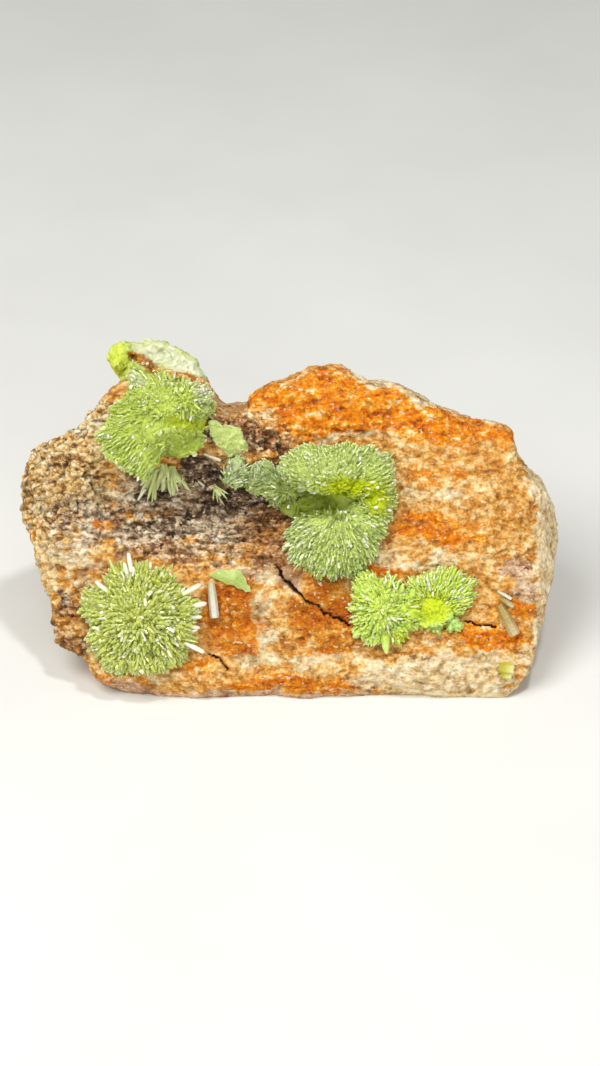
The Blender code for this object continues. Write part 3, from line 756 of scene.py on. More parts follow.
def weathered_and_shaded(tree, patterns, colour):
    """Flecks that are also painted glints, and painted shade in pits, cracks and hollows, over the stone's
    colours.
    """
    # Pale flecks: partly pale grains of the stone, partly painted glints.
    fleck = stretch(tree, patterns["fleck"], *FLECKS)
    fleck = maths(tree, "MULTIPLY", fleck, stretch(tree, patterns["stain"], *FLECKED_PLACES))
    colour = blend(tree, fleck, colour, (*paint(*FLECK_AND_GLINT_COLOUR), 1.0))
    # Painted shade: pits and the gaps between crumbs are painted dark brown.
    pit = stretch(tree, patterns["pit"], *PITS)
    gap = stretch(tree, patterns["gap"], *GAPS)
    pit = maths(tree, "MULTIPLY", maths(tree, "MAXIMUM", pit, gap), patterns["crumbly"])
    colour = blend(tree, pit, colour, (*paint(*PIT_SHADE_COLOUR), 1.0))
    # Painted shade: the cracks' walls are painted dark.
    crack = stretch(tree, kept(tree, "crack"), *CRACK_WALLS)
    colour = blend(tree, crack, colour, (*paint(*CRACK_SHADE_COLOUR), 1.0))
    # Painted shade: points that lie deeper than their neighbours are darkened.
    shade = stretch(tree, kept(tree, "relief"), *HOLLOW_SHADE)
    grey = node(tree, "ShaderNodeCombineColor", {0: shade, 1: shade, 2: shade}).outputs[0]
    return blend(tree, 1.0, colour, grey, "MULTIPLY")


def stone_finish():
    made, tree, shader, place = new_finish("rusty_host_stone")
    patterns = stone_patterns(tree, place)
    colour = weathered_and_shaded(tree, patterns, zoned_colours(tree, patterns))
    tree.links.new(colour, shader.inputs["Base Color"])
    tree.links.new(stretch(tree, patterns["grain"], *STONE_GLOSS), shader.inputs["Roughness"])
    shader.inputs["Specular IOR Level"].default_value = STONE_SHINE
    rough = maths(tree, "MULTIPLY_ADD", patterns["grain"], BUMP_GRAIN, patterns["speck"])
    sunk = maths(tree, "MULTIPLY", patterns["crumbly"], BUMP_GAP)
    rough = maths(tree, "MULTIPLY_ADD", patterns["gap"], sunk, rough)
    bump = node(tree, "ShaderNodeBump", {"Height": rough, "Distance": GRAIN_BUMP * MM, "Strength": 1.0})
    tree.links.new(bump.outputs[0], shader.inputs["Normal"])
    return made


stone_material = stone_finish()
print("stone finish has", len(stone_material.node_tree.nodes), "nodes")

# %% [markdown]
# ## Handing over a piece
# Every piece is modelled in face coordinates and takes the same last steps: it is tipped into place, gets
# its finish, and is tied to the imported model. It rides on the root body and stands in for its plain node.
# The stone goes first. Its lowest points are set to exactly zero, so it stands flat.

# %% Hand over a piece, the stone first
BASE_SNAP = 0.00007


def finish_piece(name, mesh, finish, slot_name, *nodes):
    """A finished piece in the frame, from a mesh in face coordinates."""
    mesh.transform(FACE)
    mesh.materials.clear()
    mesh.materials.append(finish)
    piece = new_object(name, mesh)
    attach(piece, "root")
    if nodes:
        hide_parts(*nodes)
    print(name, "has", sum(len(p.vertices) - 2 for p in mesh.polygons), "triangles")
    return piece


def flatten_base(mesh):
    """Stand the stone on a truly flat base."""
    points = points_of(mesh)
    points[:, 2] = np.where(points[:, 2] < BASE_SNAP, 0.0, points[:, 2])
    mesh.vertices.foreach_set("co", points.ravel())
    mesh.update()


stone_on_face = BVHTree.FromPolygons(
    [v.co for v in stone_mesh.vertices],
    [p.vertices for p in stone_mesh.polygons],
)
stone = finish_piece("rusty_stone", stone_mesh, stone_material, "host_stone", "matrix_stone")
flatten_base(stone.data)

# %% [markdown]
# ## One crystal
# Pyromorphite grows as little six-sided prisms. Some are barrels with flat ends, some are blunt, and fine
# ones end in a point. One crystal is a stack of six-cornered rings, closed at both ends: a few dozen faces,
# because thousands of copies will be used. Each ring is given as (height, radius). Each point keeps how near
# the tip it is, for the colour.

# %% Crystal shapes
CRYSTAL_SIDES = 6
CRYSTAL_RINGS = {
    "barrel": [(0.0, 0.70), (0.45, 0.98), (0.94, 1.0), (1.0, 0.84), (0.975, 0.42)],
    "blunt": [(0.0, 0.80), (0.5, 1.0), (0.90, 0.88), (1.0, 0.45)],
    "needle": [(0.0, 1.0), (0.75, 0.80), (1.0, 0.14)],
    "blade": [(0.0, 0.60), (0.4, 1.0), (0.72, 0.85), (0.92, 0.42), (1.0, 0.08)],
}


def crystal_mesh(kind):
    """A closed six-sided crystal along Z from 0 to 1, one unit in radius."""
    bm = bmesh.new()
    rings = []
    for height, radius in CRYSTAL_RINGS[kind]:
        angles = [2 * math.pi * i / CRYSTAL_SIDES for i in range(CRYSTAL_SIDES)]
        rings.append([bm.verts.new((radius * math.cos(a), radius * math.sin(a), height)) for a in angles])
    for low, high in zip(rings, rings[1:]):
        for i in range(CRYSTAL_SIDES):
            j = (i + 1) % CRYSTAL_SIDES
            bm.faces.new((low[i], low[j], high[j], high[i]))
    bm.faces.new(rings[0][::-1])
    bm.faces.new(rings[-1])
    mesh = bpy.data.meshes.new(kind)
    bm.to_mesh(mesh)
    bm.free()
    put_attribute(mesh, "tip", points_of(mesh)[:, 2])
    return mesh


crystals = {kind: new_object("one_" + kind, crystal_mesh(kind)) for kind in CRYSTAL_RINGS}
print("crystal shapes:", ", ".join(crystals))

# %% [markdown]
# ## Geometry Nodes: a crust of crystals
# Everything green on the stone is many crystals that grow from a common root. The tree takes a root skin, on
# which each point keeps a spoke: the way and the distance that a crystal grows from there. The tree scatters
# points with an even spacing, puts a crystal on each along its spoke, gives it its own thickness, length,
# lean and spin from a fixed seed, and keeps a random number for its colour. The instances are realized, so
# the result is plain geometry. Particles could do this too, but a tree is easier to read and to reuse, and
# this one dresses six skins.

# %% Crust tree
MOST_POINTS = 4000.0
FULL_TURN = 2 * math.pi
SEED_STEPS = (10.0, 20.0, 30.0, 40.0, 50.0)


def crust_tree():
    """Covers a skin with crystals along its spokes."""
    tree, given, result = new_tree("crystal_crust", [
        ("Crystal", "Object", None),
        ("Spacing", "Float", 0.2),
        ("Thickness", "Float", 0.1),
        ("Thickness Spread", "Float", 0.25),
        ("Length", "Float", 1.0),
        ("Length Spread", "Float", 0.15),
        ("Lean", "Float", 0.12),
        ("Seed", "Int", 1),
        ("Skin", "Bool", True),
        ("Sparkle", "Float", 0.0),
        ("Finish", "Material", None),
    ])
    seeds = [maths(tree, "ADD", given["Seed"], step) for step in SEED_STEPS]

    def chance(seed, low, high):
        drawn = node(tree, "FunctionNodeRandomValue", {2: low, 3: high, "Seed": seed}, data_type="FLOAT")
        return drawn.outputs[1]

    scatter = node(tree, "GeometryNodeDistributePointsOnFaces", {
        "Mesh": given["Geometry"],
        "Distance Min": given["Spacing"],
        "Density Max": MOST_POINTS,
        "Density Factor": kept_number(tree, "crowd"),
        "Seed": given["Seed"],
    }, distribute_method="POISSON")
    spoke = node(tree, "GeometryNodeInputNamedAttribute", {
        "Name": "spoke",
    }, data_type="FLOAT_VECTOR").outputs[0]
    whole = node(tree, "ShaderNodeVectorMath", {0: spoke}, operation="LENGTH").outputs["Value"]
    length = maths(tree, "MULTIPLY", whole, given["Length"])
    stray = node(tree, "FunctionNodeRandomValue", {
        0: (-1.0, -1.0, -1.0),
        1: (1.0, 1.0, 1.0),
        "Seed": seeds[0],
    }, data_type="FLOAT_VECTOR").outputs[0]
    amount = maths(tree, "MULTIPLY", whole, given["Lean"])
    aside = node(tree, "ShaderNodeVectorMath", {0: stray, "Scale": amount}, operation="SCALE").outputs[0]
    way = node(tree, "ShaderNodeVectorMath", {0: spoke, 1: aside}, operation="ADD").outputs[0]
    stand = node(tree, "FunctionNodeAlignRotationToVector", {"Vector": way}, axis="Z").outputs[0]
    spin = node(tree, "FunctionNodeAxisAngleToRotation", {
        "Axis": (0, 0, 1),
        "Angle": chance(seeds[1], 0.0, FULL_TURN),
    })
    turned = node(tree, "FunctionNodeRotateRotation", {
        "Rotation": stand,
        "Rotate By": spin.outputs[0],
    }, rotation_space="LOCAL").outputs[0]
    thin = maths(tree, "SUBTRACT", 1.0, given["Thickness Spread"])
    thick = maths(tree, "ADD", 1.0, given["Thickness Spread"])
    width = maths(tree, "MULTIPLY", given["Thickness"], chance(seeds[2], thin, thick))
    least = maths(tree, "SUBTRACT", 1.0, given["Length Spread"])
    reach = maths(tree, "MULTIPLY", length, chance(seeds[3], least, 1.0))
    size = node(tree, "ShaderNodeCombineXYZ", {0: width, 1: width, 2: reach}).outputs[0]
    shape = node(tree, "GeometryNodeObjectInfo", {"Object": given["Crystal"]}).outputs["Geometry"]
    planted = node(tree, "GeometryNodeInstanceOnPoints", {
        "Points": scatter.outputs["Points"],
        "Instance": shape,
        "Rotation": turned,
        "Scale": size,
    })
    tinted = node(tree, "GeometryNodeStoreNamedAttribute", {
        "Geometry": planted.outputs[0],
        "Name": "tint",
        "Value": chance(seeds[4], given["Sparkle"], 1.0),
    }, data_type="FLOAT", domain="INSTANCE")
    real = node(tree, "GeometryNodeRealizeInstances", {"Geometry": tinted.outputs[0]})
    glossy = node(tree, "GeometryNodeStoreNamedAttribute", {
        "Geometry": real.outputs[0],
        "Name": "gloss",
        "Value": 1.0,
    }, data_type="FLOAT", domain="POINT")
    skin = node(tree, "GeometryNodeSwitch", {
        "Switch": given["Skin"],
        "True": given["Geometry"],
    }, input_type="GEOMETRY")
    both = node(tree, "GeometryNodeJoinGeometry")
    tree.links.new(skin.outputs[0], both.inputs[0])
    tree.links.new(glossy.outputs[0], both.inputs[0])
    coloured = node(tree, "GeometryNodeSetMaterial", {
        "Geometry": both.outputs[0],
        "Material": given["Finish"],
    })
    tree.links.new(coloured.outputs[0], result["Geometry"])
    return tree


crust = crust_tree()
print("crust tree has", len(crust.nodes), "nodes")

# %% [markdown]
# ## Where the stone is under a crystal
# A crystal that is placed by its spot on the face still has to sit on the stone. A ray shot straight down at
# the face finds the stone's real surface there. Where the growth overhangs the stone's edge, the ray finds
# nothing, and the nearest place on the stone takes its part.

# %% Height of the stone
RAY_START = 12.0
SAMPLE_SPOT = (0.0, 7.0)
AROUND = [(0, 0), (1, 0), (-1, 0), (0, 1), (0, -1)]


def stone_height(u, v):
    """How far out the stone's surface lies at one place of the face."""
    hit = stone_on_face.ray_cast(Vector((u, v, RAY_START)), Vector((0, 0, -1)))[0]
    if hit is None:
        hit = stone_on_face.find_nearest(Vector((u, v, 0.0)))[0]
    return hit.z


def typical_height(u, v, radius):
    """The middle of several heights round one place, which a single grain can't upset."""
    return float(np.median([stone_height(u + radius * x, v + radius * y) for x, y in AROUND]))


print("stone at the middle of the face:", round(stone_height(*SAMPLE_SPOT), 2), "mm out")

# %% [markdown]
# ## Root skins
# Crystals grow out of a common root, so every growth needs a skin to stand on. Its bulk is a few egg-shaped
# lobes. A thin shell or a scalloped edge is a sheet with a drawn outline, which follows the stone. A voxel
# remesh melts them all into one skin, and no seam shows. A lobe is a row of (u, v, height over the stone,
# half width, half height, half depth, length of its crystals, how crowded they are). A sheet is (outline,
# middle, height over the stone, doming, thickness).

# %% Lobes and sheets melted into one skin
WIDE_LOOK = 0.4
CLOSE_LOOK = 0.2
SHEET_RINGS = (1.0, 0.75, 0.45, 0.15)
SHEET_SAG = 0.4
BALL_FINENESS = 4
RADII = slice(3, 6)


def grown_from(spot, rows):
    """Lobes whose crystals fan out from a spot (u, v, depth), or from each lobe's own middle if u is None."""
    u0, v0, depth = spot
    out = []
    for u, v, lift, half_u, half_v, half_w, length, crowd in rows:
        aside = (0.0, 0.0) if u0 is None else (u0 - u, v0 - v)
        out.append((u, v, lift, half_u, half_v, half_w, *aside, depth, length, crowd))
    return out


def standing(lobes):
    """The lobes' middles, set on the stone where each one is."""
    return [Vector((u, v, typical_height(u, v, WIDE_LOOK) + lift)) for u, v, lift, *_ in lobes]


def band(bm, first, second):
    """Faces between two rings of the same number of points."""
    after = [(i + 1) % len(first) for i in range(len(first))]
    return [bm.faces.new((first[i], first[j], second[j], second[i])) for i, j in enumerate(after)]


def add_sheet(bm, outline, middle, lift, doming, thickness):
    """Add a thick sheet with a drawn outline. It follows the stone, and its middle may stand higher."""
    level = typical_height(*middle, WIDE_LOOK)
    faces, rims = [], []
    for down in (0.0, thickness):
        rings = []
        for share in SHEET_RINGS:
            ring = []
            for corner in outline:
                u, v = np.array(middle) + np.subtract(corner, middle) * share
                under = np.clip(typical_height(u, v, CLOSE_LOOK), level - SHEET_SAG, level + SHEET_SAG)
                ring.append(bm.verts.new((u, v, under + lift + doming * (1 - share * share) - down)))
            rings.append(ring)
        for outer, inner in zip(rings, rings[1:]):
            faces += band(bm, outer, inner)
        faces.append(bm.faces.new(rings[-1]))
        rims.append(rings[0])
    faces += band(bm, *rims)
    bmesh.ops.recalc_face_normals(bm, faces=faces)


def lobed_skin(lobes, voxel, smoothing, sheets=()):
    """Egg-shaped lobes and sheets melted into one skin."""
    bm = bmesh.new()
    for sheet in sheets:
        add_sheet(bm, *sheet)
    for lobe, centre in zip(lobes, standing(lobes)):
        verts = bmesh.ops.create_icosphere(bm, subdivisions=BALL_FINENESS, radius=1.0)["verts"]
        bmesh.ops.scale(bm, vec=lobe[RADII], verts=verts)
        bmesh.ops.translate(bm, vec=centre, verts=verts)
    mesh = bpy.data.meshes.new("lobed_skin")
    bm.to_mesh(mesh)
    bm.free()
    obj = new_object("skin_work", mesh)
    melt = obj.modifiers.new("melt", "REMESH")
    melt.mode = "VOXEL"
    melt.voxel_size = voxel
    ease = obj.modifiers.new("ease", "SMOOTH")
    ease.iterations = smoothing
    return settled_mesh(obj)


print("a ball has", 20 * 4 ** (BALL_FINENESS - 1), "faces before it is melted")

# %% [markdown]
# ## Prisms grown together
# Close up, such a growth is a mosaic of prism ends that have grown into one another. A Voronoi pattern of
# the directions from the growth's root gives just that: each cell stands at its own height, with a groove
# round it. The cells get wider away from the root, as real prisms in a fan do. The same step keeps on the
# skin what the crust tree and the finish read: the spoke, how crowded the crystals are, how near the tip
# each point is, and a tint. Crystals that point at the viewer are shortened and thinned out, or they would
# hide the mosaic.

# %% Prism ends and spokes
WIDTHS = slice(3, 5)
ROOT = slice(6, 9)
LENGTH = 9
CROWD = 10
GROOVE = (0.0, 0.22)
GROOVE_DEPTH = 0.6
TWIST = 0.9
LOBE_STEP = 3.7
CELL_STEP = 9.7
BARE_HEIGHT = 0.05
CRYSTAL_CROWD = (0.3, 0.9)
UNDERSIDE = -0.6
TIP_BASE = 0.06
TIP_BARE = 0.40
TIP_CREST = 0.20
TIP_END = 0.18
TINT_ENDS = (0.5, 0.35)


def unit(vectors):
    return vectors / np.linalg.norm(vectors, axis=1)[:, None]


def normals_of(mesh):
    flat = np.empty(len(mesh.vertices) * 3)
    mesh.vertices.foreach_get("normal", flat)
    return flat.reshape(-1, 3)


def prism_cells(spots):
    """The height of the prism end at each spot, and how far the spot is from the nearest groove."""
    ends, grooves = np.empty(len(spots)), np.empty(len(spots))
    for i, spot in enumerate(spots):
        near, homes = noise.voronoi(Vector(spot))
        ends[i] = noise.cell(homes[0] * CELL_STEP)
        grooves[i] = near[1] - near[0]
    return ends, grooves


def fused_prisms(mesh, lobes, cell, height, raise_spoke, shortening, thinning):
    """Give a smooth skin the ends of prisms, and keep which way crystals grow from each point."""
    points, normals = points_of(mesh), normals_of(mesh)
    centres = np.array(standing(lobes))
    rows = np.array(lobes)
    away = (points[:, None, :] - centres[None]) / rows[None, :, RADII]
    owner = np.argmin(np.linalg.norm(away, axis=2), axis=1)
    rays = points - (centres + rows[:, ROOT])[owner]
    reach = np.linalg.norm(rays, axis=1)
    ways = unit(rays)
    size = rows[:, WIDTHS].mean(axis=1)[owner]
    apart = np.stack([reach * TWIST, owner * LOBE_STEP, reach * 0.0], axis=1)
    ends, grooves = prism_cells(ways * (size / cell)[:, None] + apart)
    crowd = rows[:, CROWD][owner]
    crest = smooth_step(*GROOVE, grooves)
    facing = np.clip(normals[:, 2], 0, 1)
    relief = height * (BARE_HEIGHT + (1 - BARE_HEIGHT) * crowd)
    points = points + normals * (relief * (ends + GROOVE_DEPTH * (crest - 1.0)))[:, None]
    mesh.vertices.foreach_set("co", points.ravel())
    mesh.update()
    spokes = unit(ways * (1 - raise_spoke) + normals * raise_spoke)
    put_attribute(mesh, "spoke", spokes * (rows[:, LENGTH][owner] * (1 - shortening * facing))[:, None])
    put_attribute(mesh, "tip", TIP_BASE + TIP_BARE * (1 - crowd) + TIP_CREST * crest + TIP_END * ends)
    put_attribute(mesh, "tint", TINT_ENDS[0] + TINT_ENDS[1] * ends)
    carries = smooth_step(*CRYSTAL_CROWD, crowd) * (normals[:, 2] > UNDERSIDE)
    put_attribute(mesh, "crowd", carries * (1 - thinning * facing))
    put_attribute(mesh, "crowd_along", carries)
    mesh.shade_smooth()


print("prisms sink", GROOVE_DEPTH, "of their height at a groove")

# %% [markdown]
# ## Crystals that lie along a skin
# A fan looks feathery because its crystals lie side by side along it and only their tips lift. So each skin
# is used twice. First, thicker crystals stand on it along its spokes. Then a copy has its spokes laid down
# onto the surface, away from the root, and the tree covers it with finer crystals and leaves out the copied
# skin. Together they give both the lumps and the fine streaks over them.

# %% Standing and lying crystals
CRUST_COLUMNS = ("Seed", "Spacing", "Thickness", "Thickness Spread", "Length", "Length Spread", "Lean")
NO_WAY = (0, 0, 1e-6)


def laid_down(skin, length, lift):
    """A copy of a skin whose crystals lie along it, each the way its spoke leans."""
    mesh = skin.copy()
    normals = normals_of(mesh)
    flat = np.empty(len(mesh.vertices) * 3)
    mesh.attributes["spoke"].data.foreach_get("vector", flat)
    away = unit(flat.reshape(-1, 3) * (1, 1, 0) + NO_WAY)
    along = away - normals * np.sum(away * normals, axis=1)[:, None]
    put_attribute(mesh, "spoke", unit(along + normals * lift) * length)
    crowd = np.empty(len(mesh.vertices))
    mesh.attributes["crowd_along"].data.foreach_get("value", crowd)
    put_attribute(mesh, "crowd", crowd)
    return mesh


def crusted(skin, finish, row, **more):
    """A skin with its crystals. The row gives the crust tree's values in the order of the columns."""
    values = {"Crystal": crystals["needle"], "Finish": finish} | dict(zip(CRUST_COLUMNS, row))
    return run_tree(skin, crust, values | more)


def joined(meshes, name):
    """Several meshes as one, with their attributes."""
    if len(meshes) == 1:
        return meshes[0]
    objects = [new_object(name + "_part", mesh) for mesh in meshes]
    with bpy.context.temp_override(
        active_object=objects[0],
        selected_objects=objects,
        selected_editable_objects=objects,
    ):
        bpy.ops.object.join()
    mesh = objects[0].data
    bpy.data.objects.remove(objects[0])
    return mesh


print("crust values, in order:", ", ".join(CRUST_COLUMNS))

# %% [markdown]
# ## Tinges of colour
# One growth is not one green. The real ones are lime where the light goes through, blue-green on the shells,
# cream on the old crust and rusty where the stone has bled into them, and an olive tinge is painted shade in
# the hollow under the ridge's roof and in the crown's folds.
# Soft ovals do this as they do on the stone, and each tinge is a pair of colours: one for the root of a
# crystal and one for its tip.

# %% Tinges
TINGE_WARP = 0.14
TINGE_WARP_FREQUENCY = 2.2
TINGES = {
    "lime": [
        (3.0, 10.0, 1.5, 0.42, 0, 1.0), (4.1, 9.5, 0.5, 0.75, 0, 1.0), (-4.5, 12.95, 0.95, 0.25, -8, 0.8),
        (6.70, 4.5, 0.85, 0.75, 0, 0.9), (4.9, 3.1, 0.7, 0.3, 15, 0.7),
    ],
    # Painted shade: the olive tinge darkens the hollow under the ridge's roof and the crown's folds.
    "olive": [
        (1.2, 9.25, 1.7, 0.5, 0, 1.0), (-5.2, 11.3, 0.5, 0.4, 0, 0.8), (-4.6, 12.2, 1.0, 0.6, 0, 0.4),
        (0.1, 10.0, 0.7, 0.5, 0, 0.5),
    ],
    "sea": [(-2.0, 10.75, 1.4, 0.7, 0, 0.9), (-0.7, 10.45, 0.8, 0.6, 0, 0.6), (0.6, 7.6, 0.9, 1.0, 0, 0.5)],
    "cream": [
        (-6.0, 16.2, 1.3, 0.6, -10, 1.0), (-4.6, 15.5, 1.1, 0.55, -38, 1.0),
        (-3.8, 14.5, 0.35, 0.7, 15, 0.8), (-6.7, 14.9, 0.5, 0.3, -40, 0.6),
    ],
    "yellow": [(-7.75, 15.9, 0.75, 0.9, 0, 1.0)],
    "rusty": [
        (-6.8, 16.05, 0.42, 0.2, -10, 1.6), (-6.3, 15.60, 0.5, 0.24, -40, 1.6),
        (-4.6, 15.05, 0.6, 0.24, -15, 1.6),
    ],
    "nub": [(7.75, 3.8, 0.42, 0.45, 0, 1.0), (6.9, 3.55, 0.33, 0.32, 0, 1.0)],
}
TINGE_COLOURS = {
    "lime": ((198, 212, 12), (184, 198, 18)),
    "olive": ((112, 126, 18), (128, 142, 46)),
    "sea": ((140, 160, 90), (204, 218, 168)),
    "cream": ((188, 194, 154), (220, 222, 196)),
    "yellow": ((190, 204, 66), (200, 210, 96)),
    "rusty": ((104, 62, 16), (200, 136, 48)),
    "nub": ((172, 206, 106), (184, 210, 128)),
}


def paint_tinges(mesh, names):
    """Keep how strongly each tinge colours each point."""
    points = points_of(mesh)
    bent = points.copy()
    bent[:, 0] += TINGE_WARP * noise_at(points, TINGE_WARP_FREQUENCY, offset=61.0)
    bent[:, 1] += TINGE_WARP * noise_at(points, TINGE_WARP_FREQUENCY, offset=67.0)
    for name in names:
        put_attribute(mesh, name, zone_strength(bent, TINGES[name]))


def grown(plan, finish, tinges=()):
    """One growth from its plan: the skin with standing crystals, and the crystals that lie along it."""
    skin = lobed_skin(plan["lobes"], plan["voxel"], plan["smoothing"], plan["sheets"])
    fused_prisms(skin, plan["lobes"], *plan["ends"])
    paint_tinges(skin, tinges)
    upright = crusted(skin, finish, plan["standing"])
    along = laid_down(skin, plan["reach"], plan["lift"])
    return [upright, crusted(along, finish, plan["lying"], Skin=False, Sparkle=plan["sparkle"])]


print(len(TINGES), "tinges")

# %% [markdown]
# ## The crystals' finish
# Pyromorphite is a lead mineral: its crystals bend light strongly, so they have a rich, greasy shine. They
# are milky more than clear. The colour runs from a deeper root to a pale tip, a little different for each
# crystal, and a few crystals are painted near white as glints, which is painted highlight. Subsurface
# scattering lets the light wander through. It may only wander as far as a crystal is thick, or thin crystals
# turn grey, so the depth is smaller where the gloss attribute marks a crystal than on the skin. The shine is
# tinted like the crystals, which keeps their green deep under a pale sky.

# %% Crystal finish
PYROMORPHITE_IOR = 2.05
DULL_SKIN = 0.32
SHINE_TINT = (0.95, 1.0, 0.62, 1.0)
SHINE = (0.15, 0.32)
MILK_DEPTH = (0.30 * MM, 0.07 * MM)
MILK_RADIUS = (1.0, 1.0, 0.8)
MIST_NOISE = (1.4, 4.0)
MIST_SWING = 0.5
TINT_SWING = 0.3
BODY_PLACE = 0.55
TINGE_PLACES = (0.1, 0.9)
GLINT_TINTS = (0.93, 0.96)
GLINT_TIPS = (0.0, 0.4)
GLINT_COLOUR = (248, 250, 222)
HAZE_NOISE = (7.0, 3.0)
HAZE_RANGE = (0.35, 0.7)
FROST_SPREAD = (0.6, 1.7)
BUMP_NOISE = (9.0, 3.0)
BUMP_HEIGHT = 0.02
BUMP_STRENGTH = 0.5


def crystal_finish(name, root, body, tip, milk=1.0, clear=0.0, frost=0.16, tinges=()):
    """A translucent crystal material from three colours along each crystal."""
    made, tree, shader, place = new_finish(name)
    along = swung(tree, cloud(tree, place, *MIST_NOISE), MIST_SWING, kept(tree, "tip"))
    along = swung(tree, kept(tree, "tint"), TINT_SWING, along)
    colour = strip(tree, along, [(0.0, paint(*root)), (BODY_PLACE, paint(*body)), (1.0, paint(*tip))])
    for tinge in tinges:
        pair = [paint(*c) for c in TINGE_COLOURS[tinge]]
        tone = strip(tree, along, list(zip(TINGE_PLACES, pair)))
        colour = blend(tree, kept(tree, tinge), colour, tone)
    # Painted highlight: crystals with the highest tint are painted near white as glints, all but their roots.
    glint = stretch(tree, kept(tree, "tint"), *GLINT_TINTS)
    glint = maths(tree, "MULTIPLY", glint, stretch(tree, along, *GLINT_TIPS))
    colour = blend(tree, glint, colour, (*paint(*GLINT_COLOUR), 1.0))
    haze = cloud(tree, place, *HAZE_NOISE)
    haze = stretch(tree, haze, *HAZE_RANGE, *(frost * share for share in FROST_SPREAD))
    gloss = kept(tree, "gloss")
    dull = stretch(tree, gloss, 0.0, 1.0, DULL_SKIN, 0.0)
    bump = node(tree, "ShaderNodeBump", {
        "Height": cloud(tree, place, *BUMP_NOISE),
        "Distance": BUMP_HEIGHT * MM,
        "Strength": BUMP_STRENGTH,
    })
    for socket, value in {
        "Base Color": colour,
        "Roughness": maths(tree, "ADD", haze, dull),
        "Specular IOR Level": stretch(tree, gloss, 0.0, 1.0, *SHINE),
        "Subsurface Scale": stretch(tree, gloss, 0.0, 1.0, *MILK_DEPTH),
        "Normal": bump.outputs[0],
    }.items():
        tree.links.new(value, shader.inputs[socket])
    for socket, value in {
        "IOR": PYROMORPHITE_IOR,
        "Specular Tint": SHINE_TINT,
        "Subsurface Weight": milk,
        "Subsurface Radius": MILK_RADIUS,
        "Transmission Weight": clear,
    }.items():
        shader.inputs[socket].default_value = value
    return made


def placed_crystal(kind, start, end, radius, flatness=1.0, tint=0.5):
    """One crystal from start to end in face coordinates."""
    mesh = crystals[kind].data.copy()
    run = end - start
    place = Matrix.Translation(start) @ run.to_track_quat("Z", "Y").to_matrix().to_4x4()
    mesh.transform(place @ Matrix.Diagonal((radius, radius * flatness, run.length, 1.0)))
    put_attribute(mesh, "tint", np.full(len(mesh.vertices), tint))
    put_attribute(mesh, "gloss", np.ones(len(mesh.vertices)))
    return mesh


print("crystal finish ready")

# %% [markdown]
# ## The left spray
# The lower left growth is a round burst of olive prisms, all from one spot. Its bulk is a large dome with
# smaller lobes round it. In each plan the ends are (cell, height, how far spokes follow the normal, how much
# facing crystals are shortened, how much they are thinned out), and reach and lift are the length of the
# lying crystals and how far they rise off the skin. The standing and lying rows give the crust tree's values
# in the order of its columns.

# %% The left spray's dome
SPRAY_LOBES = grown_from((-6.70, 4.05, -0.6), [
    (-6.62, 4.00, 0.10, 1.85, 1.90, 1.50, 0.50, 1.0), (-7.50, 5.45, 0.00, 0.70, 0.75, 1.00, 0.60, 1.0),
    (-6.60, 5.70, 0.00, 0.50, 0.60, 0.90, 0.50, 1.0), (-5.60, 5.40, 0.00, 0.75, 0.75, 1.00, 0.60, 1.0),
    (-4.95, 4.50, 0.00, 0.60, 0.60, 0.95, 0.50, 1.0), (-4.90, 3.50, 0.00, 0.60, 0.60, 0.90, 0.50, 1.0),
    (-5.20, 2.60, 0.00, 0.75, 0.60, 0.95, 0.55, 1.0), (-6.40, 2.25, 0.00, 0.95, 0.60, 0.90, 0.50, 1.0),
    (-7.70, 2.30, 0.00, 0.70, 0.60, 0.90, 0.45, 1.0), (-8.35, 3.20, 0.00, 0.65, 0.60, 0.90, 0.50, 1.0),
    (-8.45, 4.50, 0.00, 0.55, 0.75, 0.95, 0.55, 1.0),
])
SPRAY = {
    "lobes": SPRAY_LOBES, "sheets": [], "voxel": 0.05, "smoothing": 2, "ends": (0.20, 0.24, 0.2, 0.65, 0.7),
    "standing": (3, 0.20, 0.10, 0.4, 0.9, 0.6, 0.25),
    "lying": (4, 0.19, 0.075, 0.4, 1.0, 0.5, 0.3), "reach": 0.45, "lift": 0.35, "sparkle": 0.2,
}

spray_finish = crystal_finish(
    "olive_pyromorphite", (208, 216, 108), (178, 188, 94), (206, 214, 146), frost=0.11,
)
spray = grown(SPRAY, spray_finish)
print("dome of the left spray:", sum(len(mesh.polygons) for mesh in spray), "faces")

# %% [markdown]
# ## The prisms round the left spray
# The outline of the spray is what the eye reads first, so its longest prisms are placed one by one where the
# real ones end, as (u, v, radius, tint). Those with a tint of one are the thick white ones: they are blunt
# and reach their full length. The others are needles, and a seeded random share shortens and thins them, so
# the edge stays ragged.

# %% The left spray's edge
SPRAY_MIDDLE = np.array((-6.70, 4.05))
